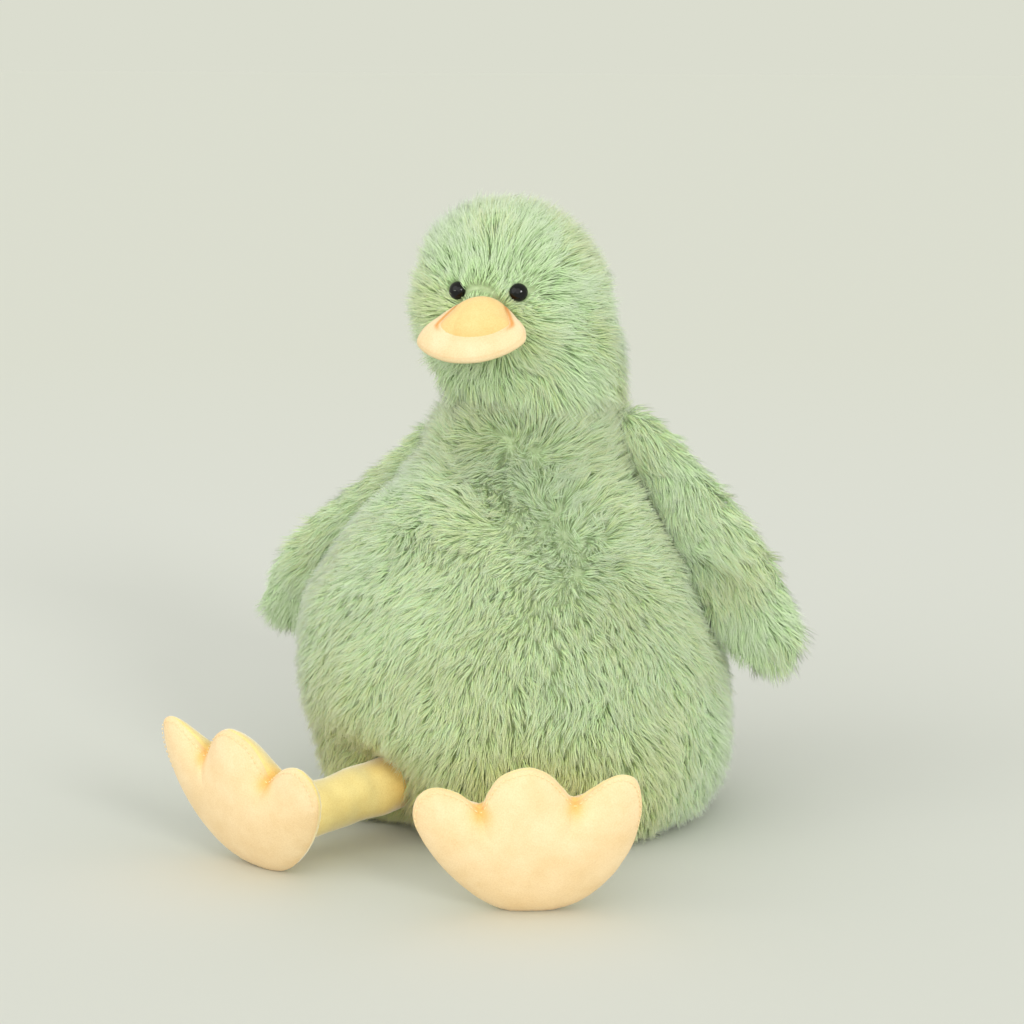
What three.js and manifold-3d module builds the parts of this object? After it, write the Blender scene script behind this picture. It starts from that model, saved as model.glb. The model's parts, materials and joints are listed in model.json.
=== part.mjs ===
import * as THREE from 'three';
import { mergeVertices } from 'three/addons/utils/BufferGeometryUtils.js';
import Module from 'manifold-3d';

const wasm = await Module();
wasm.setup();

// A seated plush duck. Lengths are millimetres and angles are degrees.
// +Z is up, the duck faces -Y and its left side is +X. The origin is the middle of its seat.
// Covers hold the fabric with the packed lower part of its pile. Loose tips of the pile are left out.

// Clearances and cuts
const gap = 0.3; // between pieces that touch
const overrun = 12; // how far a cutting shape runs past what it cuts
const flatDepth = 0.5; // how much of a soft piece is cut flat where it rests

// Fabrics
const furThick = 7;
const wingFurThick = 4.5;
const velourThick = 1.6;

// Body: a pear that ends in a dome, which the head sits on
const bellyRadius = 102;
const neckHigh = 169; // centre of the dome
const neckRadius = 47; // radius of the dome
const domeEdgeAngle = 84; // where the dome meets the shoulders, from straight up
const seatRadius = 70;
const baseRadius = 61; // the fabric disc under the seat
const baseThick = 3;
const tuckDeepLeft = 5; // how far the fabric is drawn in round each hip
const tuckDeepRight = 16;
const tuckHigh = 34; // full depth up to here
const tuckFade = 26; // and gone this much higher
const tuckSpreadAngle = 17;

// Radius as a share of the belly's, and height as a share of the shoulder edge's
const bodyOutlineShares = [
  [0.835, 0.019], [0.911, 0.069], [0.965, 0.161], [0.995, 0.288], [1, 0.403],
  [0.97, 0.53], [0.901, 0.645], [0.812, 0.748], [0.678, 0.863], [0.535, 0.95],
];

// Stuffing in the body
const pouchRadius = 57;
const pouchHigh = 24;
const stemRadius = 27; // the wad of stuffing that fills the neck
const stemLong = 58;

// Head
const headTurnAngle = 3.5; // the head looks a little to its left at rest
const headAside = 1.8; // and leans a little to its right
const headWide = 95;
const headDeep = 91;
const headLift = 76; // from the centre of the dome up to the widest place
const headUp = 51.5; // from there to the crown
const headDown = 62; // and to where the cheeks would close
const cheekPower = 3.3; // the cheeks are fuller than a ball

// Eyes: a bead with a shank through the fabric, held by a washer inside
const beadRadius = 4.2;
const beadHigh = 4;
const shankRadius = 1.5;
const washerRadius = 6;
const washerThick = 1.5;
const eyeApart = 30.4; // between the two eyes
const eyeLift = 13.3; // above the head's widest place
const eyeCupDeep = 4.2; // the beads pull the fabric in
const eyeCupFlare = 2.6;
const shankOver = 2; // how far the shank stands past its washer

// Bill: a puffy plate with a stuffed dome on it
const plateWide = 52;
const plateDeep = 29;
const plateThick = 12;
const plateSink = 12.5; // below the head's widest place
const plateReach = 69.5; // how far its front is from the neck's axis
const plateDroopAngle = 10;
const billWide = 41;
const billDeep = 36;
const billTall = 29;
const billSink = 2.5; // below the head's widest place
const billReach = 61.5;
const cushionPower = 2.6; // higher is squarer when seen from above

// Wings: narrow at the shoulder, broad near the tip
const wingLong = 123; // from the hinge to the tip
const wingRootWide = 19;
const wingTipWide = 35;
const wingThick = 15;
const wingBowLeft = 14; // how far it stands out from a straight line
const wingBowRight = 3;
const wingSplayAngle = { left: 37, right: 43 }; // from hanging straight down
const wingBackAngle = 8; // how far the shoulders are turned to the back
const wingLift = 2.5; // where it is sewn on, above the centre of the dome
const wingSeat = 7.5; // from the fabric of the shoulder to the hinge
const wingSlot = 2.5; // radius of the opening at the root
const wingFullShare = 0.8; // the blade is broadest this far down
const wingTipPower = 6; // higher is squarer at the tip
const wingBowPower = 0.6; // less bends nearer the shoulder
const wingRowPower = 1.5; // more crowds the rows towards the tip

// Legs
const legAngle = 25.2; // from straight ahead
const hipHigh = 25;
const hipRadius = 13;
const hipSeat = 8.5; // from the fabric of the body to the hip's centre
const ankleRadius = 12.3;
const legLong = 45; // from hip to ankle
const legDrop = 4; // the leg slopes down a little towards the foot
const legSlot = 7; // radius of the opening at each end

// Feet: two panels sewn round a webbed outline
const footWide = 99;
const footHigh = 76;
const soleBulge = 12.5;
const footBack = 14.5;
const footLeanAngle = 20; // the toes lean away from the body
const footRollAngle = { left: 0, right: 6 };
const footTurnAngle = { left: 0, right: 5 }; // how far a sole is turned to the front
const footFullness = 0.8; // less is fuller towards the seam
const ankleSeat = 7; // from the fabric of the foot to the ankle's centre

// Places on the outline, as shares of the foot's width and height from the middle of the heel.
// They run from the heel round the outer toe, the middle toe and the inner toe.
const footOutlineShares = [
  [0, 0], [0.13, 0.025], [0.26, 0.11], [0.36, 0.26], [0.43, 0.43], [0.475, 0.59],
  [0.49, 0.75], [0.455, 0.89], [0.38, 0.955], [0.285, 0.89], [0.2, 0.775], [0.12, 0.88],
  [0.01, 1], [-0.1, 0.91], [-0.225, 0.7], [-0.33, 0.83], [-0.43, 0.885], [-0.5, 0.82],
  [-0.515, 0.69], [-0.5, 0.56], [-0.45, 0.42], [-0.36, 0.24], [-0.25, 0.1], [-0.12, 0.02],
];
const footMiddleShare = 0.36; // height of the pad's thickest place

// Fineness of the surfaces
const bodyColumns = 26;
const bodyRings = 9;
const domeRings = 4;
const headColumns = 24;
const headRows = 14;
const fillColumns = 24;
const limbColumns = 14;
const limbRows = 10;
const billColumns = 16;
const billRows = 8;
const footColumns = 36;
const footRows = 6;
const smallColumns = 12;

// Values that follow from the sizes above
const headMiddle = neckHigh + headLift;
const eyeHigh = headMiddle + eyeLift;
const plateHigh = headMiddle - plateSink;
const billHigh = headMiddle - billSink;
const wingSpotHigh = neckHigh + wingLift;
const tuckDeep = { left: tuckDeepLeft, right: tuckDeepRight };
const wingBow = { left: wingBowLeft, right: wingBowRight };

const radians = THREE.MathUtils.degToRad;
const { sin, cos, hypot, sqrt, abs, PI } = Math;
const { smoothstep, lerp } = THREE.MathUtils;

// Shared vertices are joined, flat triangles are dropped and faces are made to point out
function welded(geometry) {
  const bare = geometry.clone();
  bare.deleteAttribute('normal');
  bare.deleteAttribute('uv');
  const merged = mergeVertices(bare);
  const spots = merged.getAttribute('position');
  const old = merged.getIndex().array;
  const corner = new THREE.Vector3();
  const second = new THREE.Vector3();
  const third = new THREE.Vector3();
  const kept = [];
  let volume = 0;
  for (let i = 0; i < old.length; i += 3) {
    const [a, b, c] = [old[i], old[i + 1], old[i + 2]];
    if (a === b || b === c || c === a) continue;
    kept.push(a, b, c);
    corner.fromBufferAttribute(spots, a);
    second.fromBufferAttribute(spots, b);
    third.fromBufferAttribute(spots, c);
    volume += corner.dot(second.cross(third));
  }
  if (volume < 0) kept.reverse();
  merged.setIndex(kept);
  return merged;
}

function solidOf(geometry) {
  const closed = welded(geometry);
  return new wasm.Manifold(new wasm.Mesh({
    numProp: 3,
    vertProperties: Float32Array.from(closed.getAttribute('position').array),
    triVerts: Uint32Array.from(closed.getIndex().array),
  }));
}

function geometryOf(solid) {
  const { vertProperties, triVerts } = solid.getMesh();
  const geometry = new THREE.BufferGeometry();
  geometry.setAttribute('position', new THREE.BufferAttribute(vertProperties, 3));
  geometry.setIndex(new THREE.BufferAttribute(triVerts, 1));
  geometry.computeVertexNormals();
  return geometry;
}

// A unit ball with its poles up and down, each of whose directions is moved to its own place
function moulded(columns, rows, place) {
  const ball = welded(new THREE.SphereGeometry(1, columns, rows).rotateX(PI / 2));
  const spots = ball.getAttribute('position');
  const direction = new THREE.Vector3();
  for (let i = 0; i < spots.count; i += 1) {
    direction.fromBufferAttribute(spots, i).normalize();
    const spot = place(direction);
    spots.setXYZ(i, spot.x, spot.y, spot.z);
  }
  return ball;
}

// An outline of radius and height turned about the upright axis
function turned(points, columns) {
  return new THREE.LatheGeometry(points.map(([r, z]) => new THREE.Vector2(r, z)), columns)
    .rotateX(PI / 2);
}

// A faceted ball whose flat faces lie outside the true ball, so what it cuts clears that ball
function ballAround(radius, columns) {
  const rows = columns / 2;
  return new THREE.SphereGeometry(radius / cos(PI / columns) / cos(PI / (2 * rows)), columns, rows);
}

// An upright rod from one height to another
function rod(radius, low, high, columns) {
  return new THREE.CylinderGeometry(radius, radius, high - low, columns)
    .rotateX(PI / 2)
    .translate(0, 0, (low + high) / 2);
}

// Everything below the floor
function floorSlab() {
  const side = 2 * (bellyRadius + legLong + footWide);
  return new THREE.BoxGeometry(side, side, side).translate(0, 0, -side / 2);
}

// A frame to build in, placed in its parent; its cutters come in from the row's own frame
function frameAt(parent, place, turns = []) {
  const frame = new THREE.Group();
  frame.position.copy(place);
  for (const [axis, angle] of turns) frame.rotateOnAxis(axis, radians(angle));
  parent.add(frame);
  frame.updateWorldMatrix(true, false);
  return frame;
}

function broughtInto(frame, geometry) {
  return solidOf(geometry.clone().applyMatrix4(frame.matrixWorld.clone().invert()));
}

const across = new THREE.Vector3(1, 0, 0);
const back = new THREE.Vector3(0, 1, 0);
const up = new THREE.Vector3(0, 0, 1);

const finishes = {
  fur: { color: 0xaec59c, roughness: 0.95, metalness: 0 },
  yellow: { color: 0xffdb8c, roughness: 0.9, metalness: 0 },
  cream: { color: 0xffe8b4, roughness: 0.9, metalness: 0 },
  bead: { color: 0x0a0a0b, roughness: 0.08, metalness: 0 },
  washer: { color: 0xe8e8e4, roughness: 0.45, metalness: 0 },
  stuffing: { color: 0xf6f5f0, roughness: 1, metalness: 0 },
  lining: { color: 0x9fb38f, roughness: 0.9, metalness: 0 },
};

const duck = new THREE.Group();

function add(frame, name, solid, finish) {
  const mesh = new THREE.Mesh(geometryOf(solid), new THREE.MeshStandardMaterial(finishes[finish]));
  mesh.name = name;
  frame.add(mesh);
}

// Body outline

const domeEdge = {
  radius: neckRadius * sin(radians(domeEdgeAngle)),
  high: neckHigh + neckRadius * cos(radians(domeEdgeAngle)),
};
const bodySide = new THREE.SplineCurve([
  new THREE.Vector2(seatRadius, -flatDepth),
  ...bodyOutlineShares.map(([r, z]) => new THREE.Vector2(r * bellyRadius, z * domeEdge.high)),
  new THREE.Vector2(domeEdge.radius, domeEdge.high),
]);

// The outline from the seat's edge to the crown of the dome, moved in along its own slope
function bodyOutline(inset) {
  const side = bodySide.getPoints(bodyRings);
  const points = [[0, inset - flatDepth], [seatRadius - inset, inset - flatDepth]];
  for (let i = 1; i < side.length - 1; i += 1) {
    const slope = side[i + 1].clone().sub(side[i - 1]).normalize();
    const high = Math.max(side[i].y + slope.x * inset, inset - flatDepth);
    points.push([side[i].x - slope.y * inset, high]);
  }
  for (let i = 0; i <= domeRings; i += 1) {
    const angle = radians(domeEdgeAngle * (1 - i / domeRings));
    const radius = neckRadius - inset;
    points.push([radius * sin(angle), neckHigh + radius * cos(angle)]);
  }
  return points;
}

// Radius of the body at a height, and how steeply the outline leans in there
function bodySpot(high) {
  const fine = bodySide.getPoints(bodyRings * bodyRings);
  const i = fine.findIndex((point) => point.y >= high);
  const [low, top] = [fine[i - 1], fine[i]];
  const slope = top.clone().sub(low).normalize();
  return {
    radius: lerp(low.x, top.x, (high - low.y) / (top.y - low.y)),
    normal: new THREE.Vector2(slope.y, -slope.x),
  };
}

// The fabric is drawn in round each hip
function tuckAt(x, y, z) {
  const angle = THREE.MathUtils.radToDeg(Math.atan2(x, -y));
  const near = (side) => Math.exp(-(((angle - side * legAngle) / tuckSpreadAngle) ** 2));
  const low = 1 - smoothstep(z, tuckHigh, tuckHigh + tuckFade);
  return (tuckDeep.left * near(1) + tuckDeep.right * near(-1)) * low;
}

function bodyForm(inset) {
  const form = turned(bodyOutline(inset), bodyColumns);
  const spots = form.getAttribute('position');
  for (let i = 0; i < spots.count; i += 1) {
    const [x, y, z] = [spots.getX(i), spots.getY(i), spots.getZ(i)];
    const radius = hypot(x, y);
    const drawn = 1 - (tuckAt(x, y, z) * smoothstep(radius, 0, seatRadius)) / bellyRadius;
    spots.setXYZ(i, x * drawn, y * drawn, z);
  }
  return solidOf(form);
}

function pouchForm(inset) {
  const low = baseThick + gap + inset;
  const high = baseThick + gap + pouchHigh - inset;
  const radius = pouchRadius - inset;
  const round = (high - low) / 2;
  const points = [[0, low]];
  for (let i = 0; i <= domeRings; i += 1) {
    const angle = PI * (i / domeRings);
    points.push([radius - round + round * sin(angle), low + round - round * cos(angle)]);
  }
  return solidOf(turned([...points, [0, high]], fillColumns));
}

// Hinges of the limbs, in the row's own frame

const sides = { left: 1, right: -1 };

const shoulder = bodySpot(wingSpotHigh);
const wingFrames = {};
const legFrames = {};
const footFrames = {};
for (const [name, side] of Object.entries(sides)) {
  const turnedBack = frameAt(duck, new THREE.Vector3(), [[up, side * wingBackAngle]]);
  const hinge = new THREE.Vector3(
    side * (shoulder.radius + shoulder.normal.x * wingSeat), 0,
    wingSpotHigh + shoulder.normal.y * wingSeat,
  );
  wingFrames[name] = frameAt(turnedBack, hinge, [[back, -side * wingSplayAngle[name]]]);

  const ahead = frameAt(duck, new THREE.Vector3(), [[up, side * legAngle]]);
  const hipReach = bodySpot(hipHigh).radius * (1 - tuckDeep[name] / bellyRadius) + hipSeat;
  const slope = Math.asin(legDrop / legLong);
  legFrames[name] = frameAt(ahead, new THREE.Vector3(0, -hipReach, hipHigh));
  legFrames[name].rotateX(slope);
  legFrames[name].updateWorldMatrix(true, false);

  // The foot's frame has its origin in the middle of the heel
  const ankleReach = hipReach + legLong * cos(slope);
  const ankleHigh = hipHigh - legDrop;
  const lean = radians(footLeanAngle);
  const backOff = footBack * sqrt(1 - (1 - ankleHigh / (footHigh * footMiddleShare)) ** 2);
  const heelReach = ankleReach + (backOff + ankleSeat) / cos(lean) - ankleHigh * Math.tan(lean);
  footFrames[name] = frameAt(
    ahead, new THREE.Vector3(0, -heelReach, -flatDepth),
    [[up, -side * footTurnAngle[name]], [across, footLeanAngle], [back, side * footRollAngle[name]]],
  );
  footFrames[name].userData.ankle = new THREE.Vector3(0, -ankleReach, ankleHigh)
    .applyMatrix4(ahead.matrixWorld);
}

// Wings

// Above the hinge a round root, below it a long flat blade that bows outwards and ends round
function wingForm(inset, name) {
  return moulded(limbColumns, limbRows, ({ x, y, z }) => {
    const rootWide = wingRootWide / 2 - inset;
    const thick = wingThick / 2 - inset;
    if (z >= 0) return new THREE.Vector3(x * rootWide, y * thick, z * rootWide);
    const flat = hypot(x, y) || 1;
    const along = 1 - (1 - Math.asin(-z) / (PI / 2)) ** wingRowPower;
    const rounding = sqrt(1 - along ** wingTipPower);
    const spread = smoothstep(along, 0, wingFullShare);
    const wide = lerp(rootWide, wingTipWide / 2 - inset, spread) * rounding;
    const bow = sides[name] * wingBow[name] * sin(PI * along ** wingBowPower);
    return new THREE.Vector3(
      (x / flat) * wide + bow, (y / flat) * thick * rounding, -along * (wingLong - inset),
    );
  });
}

// The root is round about the hinge, and its socket is the same shape with a gap
function wingSocket(frame) {
  const facets = 1 / cos(PI / limbColumns) / cos(PI / (2 * limbRows));
  const radius = wingRootWide / 2 * facets + gap;
  const half = wingThick / 2 * facets + gap;
  const socket = moulded(limbColumns, limbRows, (direction) => new THREE.Vector3(
    direction.x * radius, direction.y * half, direction.z * radius,
  ));
  return solidOf(socket.applyMatrix4(frame.matrixWorld));
}

for (const [name, side] of Object.entries(sides)) {
  const frame = wingFrames[name];
  const cutBy = (form, inset) => solidOf(form)
    .subtract(broughtInto(frame, geometryOf(bodyForm(inset))));
  const outer = cutBy(wingForm(0, name), -gap);
  const inner = cutBy(wingForm(wingFurThick, name), -gap - wingFurThick);
  const filled = cutBy(wingForm(wingFurThick + gap, name), -2 * gap - wingFurThick);
  const slot = solidOf(rod(wingSlot, 0, wingRootWide, smallColumns).rotateY(radians(side * -90)));
  add(frame, `wing_cover_${name}`, outer.subtract(inner).subtract(slot), 'fur');
  add(frame, `wing_fill_${name}`, filled, 'stuffing');
}

// Legs

// A round tube along -Y with a ball at the hip and one at the ankle
function legForm(inset) {
  const points = [];
  for (let i = 0; i <= domeRings; i += 1) {
    const angle = (PI / 2) * (i / domeRings);
    points.push([(hipRadius - inset) * sin(angle), -(hipRadius - inset) * cos(angle)]);
  }
  for (let i = 0; i <= domeRings; i += 1) {
    const angle = (PI / 2) * (1 - i / domeRings);
    points.push([(ankleRadius - inset) * sin(angle), legLong + (ankleRadius - inset) * cos(angle)]);
  }
  return turned(points, limbColumns).rotateX(PI / 2);
}

for (const name of Object.keys(sides)) {
  const frame = legFrames[name];
  const bore = rod(legSlot, -overrun - hipRadius, legLong + ankleRadius + overrun, smallColumns);
  const cover = solidOf(legForm(0))
    .subtract(solidOf(legForm(velourThick)))
    .subtract(solidOf(bore.rotateX(PI / 2)));
  add(frame, `leg_cover_${name}`, cover, 'yellow');
  add(frame, `leg_fill_${name}`, solidOf(legForm(velourThick + gap)), 'stuffing');
}

// Feet

// Two bulging panels that meet at the webbed outline; sole side towards -Y
function footForm(inset, side) {
  const outline = new THREE.CatmullRomCurve3(footOutlineShares.map(
    ([x, z]) => new THREE.Vector3(side * x * footWide, 0, z * footHigh),
  ), true);
  const middle = new THREE.Vector3(0, 0, footHigh * footMiddleShare);
  return moulded(footColumns, footRows, (direction) => {
    const turn = Math.atan2(direction.y, direction.x) / (2 * PI);
    const around = turn < 0 ? turn + 1 : turn;
    const along = outline.getTangent(around).multiplyScalar(side);
    const inward = new THREE.Vector3(-along.z, 0, along.x);
    const edge = outline.getPoint(around).addScaledVector(inward, inset).sub(middle);
    const bulge = direction.z > 0 ? footBack : soleBulge;
    const tall = Math.sign(direction.z) * abs(direction.z) ** footFullness * (bulge - inset);
    const spread = hypot(direction.x, direction.y) ** footFullness;
    return edge.multiplyScalar(spread).add(middle).setY(tall);
  });
}

for (const [name, side] of Object.entries(sides)) {
  const frame = footFrames[name];
  const reach = 2 * footWide;
  const halfSpace = (toBack) => solidOf(new THREE.BoxGeometry(reach, reach, reach)
    .translate(0, toBack * (reach / 2 + gap / 2), 0));
  const floor = broughtInto(frame, floorSlab());
  const fillFloor = broughtInto(frame, floorSlab().translate(0, 0, velourThick + gap));
  const ankle = ballAround(ankleRadius + gap, limbColumns)
    .translate(...frame.userData.ankle.toArray());
  const socket = broughtInto(frame, ankle);
  const shell = solidOf(footForm(0, side))
    .subtract(solidOf(footForm(velourThick, side)))
    .subtract(floor)
    .subtract(socket);
  const fill = solidOf(footForm(velourThick + gap, side))
    .subtract(socket).subtract(fillFloor);
  add(frame, `sole_${name}`, shell.intersect(halfSpace(-1)), 'cream');
  add(frame, `foot_upper_${name}`, shell.intersect(halfSpace(1)), 'yellow');
  add(frame, `foot_fill_${name}`, fill, 'stuffing');
}

// Body

const hipSockets = Object.keys(sides).map((name) => solidOf(
  ballAround(hipRadius + gap, limbColumns).applyMatrix4(legFrames[name].matrixWorld),
));
const wingSockets = Object.keys(sides).map((name) => wingSocket(wingFrames[name]));
const sockets = [...hipSockets, ...wingSockets].reduce((all, one) => all.add(one));
const crown = neckHigh + neckRadius;
const neckHole = solidOf(rod(stemRadius + gap, crown - stemLong - gap, crown + overrun, fillColumns));

const bodyCover = bodyForm(0)
  .subtract(bodyForm(furThick))
  .subtract(solidOf(floorSlab()))
  .subtract(solidOf(rod(baseRadius + gap, -overrun, furThick, bodyColumns)))
  .subtract(neckHole)
  .subtract(sockets);
add(duck, 'body_cover', bodyCover, 'fur');
add(duck, 'base_panel', solidOf(rod(baseRadius, 0, baseThick, bodyColumns)), 'lining');
add(duck, 'bean_pouch', pouchForm(0), 'stuffing');
const bodyFill = bodyForm(furThick + gap)
  .subtract(pouchForm(-gap))
  .subtract(neckHole)
  .subtract(sockets);
add(duck, 'body_fill', bodyFill, 'stuffing');

const stemPoints = [[0, crown - stemLong], [stemRadius, crown - stemLong]];
const capAngle = Math.asin(stemRadius / neckRadius);
for (let i = 0; i <= domeRings; i += 1) {
  const angle = capAngle * (1 - i / domeRings);
  stemPoints.push([neckRadius * sin(angle), neckHigh + neckRadius * cos(angle)]);
}
add(duck, 'neck_fill', solidOf(turned(stemPoints, fillColumns)), 'stuffing');

// Head

const head = frameAt(duck, new THREE.Vector3(), [[up, headTurnAngle]]);

// A ball above its widest place and fuller cheeks below it
function headForm(inset) {
  return moulded(headColumns, headRows, ({ x, y, z }) => {
    const flat = hypot(x, y) || 1;
    const power = z < 0 ? cheekPower : 2;
    const round = Math.max(1 - abs(z) ** power, 0) ** (1 / power);
    const tall = (z < 0 ? headDown : headUp) - inset;
    return new THREE.Vector3(
      (x / flat) * round * (headWide / 2 - inset) - headAside,
      (y / flat) * round * (headDeep / 2 - inset),
      headMiddle + z * tall,
    );
  });
}

// How far the face is from the neck's axis at a place across and up
function faceReach(x, z) {
  const power = z < headMiddle ? cheekPower : 2;
  const tall = z < headMiddle ? headDown : headUp;
  const round = (1 - (abs(z - headMiddle) / tall) ** power) ** (1 / power);
  return (headDeep / 2) * sqrt(round ** 2 - (x / (headWide / 2)) ** 2);
}

const headOuter = solidOf(headForm(0));
const headGrown = solidOf(headForm(-gap));
const headInner = solidOf(headForm(furThick));
const bowl = solidOf(ballAround(neckRadius + gap, headColumns).translate(0, 0, neckHigh));

// Each eye's frame has its origin on the floor of its cup and +Z along the shank, out of the face
const eyeFrames = {};
for (const [name, side] of Object.entries(sides)) {
  const x = side * (eyeApart / 2);
  const surface = new THREE.Vector3(x - headAside, -faceReach(x, eyeHigh), eyeHigh);
  const outward = new THREE.Vector3(
    x / headWide ** 2, surface.y / headDeep ** 2, (eyeHigh - headMiddle) / (2 * headUp) ** 2,
  ).normalize();
  const frame = frameAt(head, surface.addScaledVector(outward, -eyeCupDeep));
  frame.quaternion.setFromUnitVectors(up, outward);
  frame.updateWorldMatrix(true, false);
  eyeFrames[name] = frame;
}

const shankLong = furThick - eyeCupDeep + washerThick + shankOver;

function eyeTools(name) {
  const { matrix } = eyeFrames[name];
  const cup = turned([
    [0, 0], [beadRadius + gap, 0], [beadRadius + eyeCupFlare, eyeCupDeep],
    [beadRadius + 2 * eyeCupFlare, 2 * eyeCupDeep], [0, 2 * eyeCupDeep],
  ], smallColumns);
  const hole = rod(shankRadius + gap, -overrun, overrun, smallColumns);
  const pocket = rod(washerRadius + gap, -shankLong - gap, overrun, smallColumns);
  return {
    cup: solidOf(cup.applyMatrix4(matrix)),
    hole: solidOf(hole.applyMatrix4(matrix)),
    pocket: solidOf(pocket.applyMatrix4(matrix)),
  };
}

let headCover = headOuter.subtract(headInner).subtract(bowl);
let headFill = solidOf(headForm(furThick + gap)).subtract(bowl);
for (const name of Object.keys(sides)) {
  const { cup, hole, pocket } = eyeTools(name);
  headCover = headCover.subtract(cup).subtract(hole);
  headFill = headFill.subtract(pocket);

  const bead = [[0, -shankLong], [shankRadius, -shankLong], [shankRadius, gap], [beadRadius, gap]];
  for (let i = 1; i <= domeRings; i += 1) {
    const angle = (PI / 2) * (i / domeRings);
    bead.push([beadRadius * cos(angle), gap + beadHigh * sin(angle)]);
  }
  add(eyeFrames[name], `eye_${name}`, solidOf(turned(bead, smallColumns)), 'bead');

  // The washer lies under the fabric, which curves round it in flat faces
  const lining = headWide / 2 - furThick;
  const facets = cos(PI / headColumns) * cos(PI / (2 * headRows));
  const dip = lining - sqrt(lining ** 2 - washerRadius ** 2) + lining * (1 - facets);
  const top = eyeCupDeep - furThick - dip - gap;
  const bore = shankRadius + gap / 2;
  const washer = turned([
    [bore, top - washerThick], [washerRadius, top - washerThick], [washerRadius, top],
    [bore, top], [bore, top - washerThick],
  ], smallColumns);
  add(eyeFrames[name], `eye_washer_${name}`, solidOf(washer), 'washer');
}
add(head, 'head_cover', headCover, 'fur');
add(head, 'head_fill', headFill, 'stuffing');

// Bill

// A cushion, squarer than a ball when seen from above
function cushion(wide, deep, tall, inset) {
  return moulded(billColumns, billRows, ({ x, y, z }) => {
    const flat = hypot(x, y) || 1;
    const norm = abs(x / flat) ** cushionPower + abs(y / flat) ** cushionPower;
    const square = norm ** (-1 / cushionPower);
    return new THREE.Vector3(
      x * square * (wide / 2 - inset), y * square * (deep / 2 - inset), z * (tall / 2 - inset),
    );
  });
}

function plateForm(inset) {
  const plate = cushion(plateWide, plateDeep, plateThick, inset);
  return solidOf(plate.rotateX(radians(plateDroopAngle))
    .translate(-headAside, plateDeep / 2 - plateReach, plateHigh));
}

function billForm(inset) {
  const dome = cushion(billWide, billDeep, billTall, inset);
  return solidOf(dome.translate(-headAside, billDeep / 2 - billReach, billHigh));
}

// Everything lower than the middle of the plate
const underPlate = solidOf(new THREE.BoxGeometry(plateWide * 2, plateReach * 2, plateHigh)
  .translate(0, -plateReach, plateHigh / 2));
const lowerOf = (inset) => plateForm(inset).subtract(headGrown);
const upperOf = (inset) => billForm(inset)
  .subtract(headGrown).subtract(plateForm(-gap)).subtract(underPlate);
add(head, 'bill_lower', lowerOf(0).subtract(plateForm(velourThick)), 'cream');
add(head, 'bill_lower_fill', lowerOf(velourThick + gap), 'stuffing');
add(head, 'bill_upper', upperOf(0).subtract(billForm(velourThick)), 'yellow');
add(head, 'bill_upper_fill', upperOf(velourThick + gap), 'stuffing');

export default duck;
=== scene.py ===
import json
import math
import bpy
import numpy as np
from mathutils import Matrix, Vector


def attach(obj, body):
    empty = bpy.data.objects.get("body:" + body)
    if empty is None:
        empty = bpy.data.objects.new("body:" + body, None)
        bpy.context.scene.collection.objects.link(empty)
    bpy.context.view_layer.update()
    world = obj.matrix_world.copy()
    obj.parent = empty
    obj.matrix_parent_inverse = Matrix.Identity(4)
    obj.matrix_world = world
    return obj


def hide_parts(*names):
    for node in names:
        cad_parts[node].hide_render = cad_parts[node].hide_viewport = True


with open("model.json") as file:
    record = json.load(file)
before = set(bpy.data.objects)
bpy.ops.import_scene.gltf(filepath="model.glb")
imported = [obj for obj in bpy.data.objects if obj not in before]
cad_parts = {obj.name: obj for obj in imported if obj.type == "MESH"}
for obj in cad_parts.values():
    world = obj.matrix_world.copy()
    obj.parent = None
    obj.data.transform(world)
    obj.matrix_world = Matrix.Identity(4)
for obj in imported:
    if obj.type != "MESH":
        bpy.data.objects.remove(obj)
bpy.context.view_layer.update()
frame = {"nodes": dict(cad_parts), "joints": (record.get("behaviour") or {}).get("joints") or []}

# A seated plush duck in sage fur with velour feet, legs and bill.
# Sizes are millimetres and angles are degrees; meshes are written in metres.
mm = 0.001
sides = {"left": 1, "right": -1}
jointPlace = {j["name"]: np.array(j["pos_m"]) / mm for j in frame["joints"]}

view = {
    "azimuth": 22.8, "elevation": 10, "distance": 1300, "aside": 3, "high": 146.7,
    "focal": 93.6, "sensor": 36, "clip": (0.01, 100),
}
viewTurn = math.radians(view["azimuth"])
cameraRight = np.array([math.cos(viewTurn), math.sin(viewTurn), 0])
cameraAhead = np.array([-math.sin(viewTurn), math.cos(viewTurn), 0])


# Small helpers

def unit(v):
    return v / np.maximum(np.linalg.norm(v, axis=-1, keepdims=True), 1e-9)


def dot(a, b):
    return (a * b).sum(-1, keepdims=True)


def lengthOf(v):
    return np.linalg.norm(v, axis=-1)


def distanceAlong(line):
    return np.concatenate([[0], np.cumsum(lengthOf(np.diff(line, axis=0)))])


def ease(x, low, high):  # 0 below low, 1 above high, smooth between
    t = np.clip((x - low) / (high - low), 0, 1)
    return t * t * (3 - 2 * t)


def bell(x, wide):  # 1 at zero, fading to both sides: e to the power of -(x / wide) squared
    return np.exp(-((x / wide) ** 2))


def turning(axis, degrees):
    return np.array(Matrix.Rotation(math.radians(degrees), 3, axis))


def fullTurn(count):
    return np.linspace(0, 2 * math.pi, count, endpoint=False)


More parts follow.
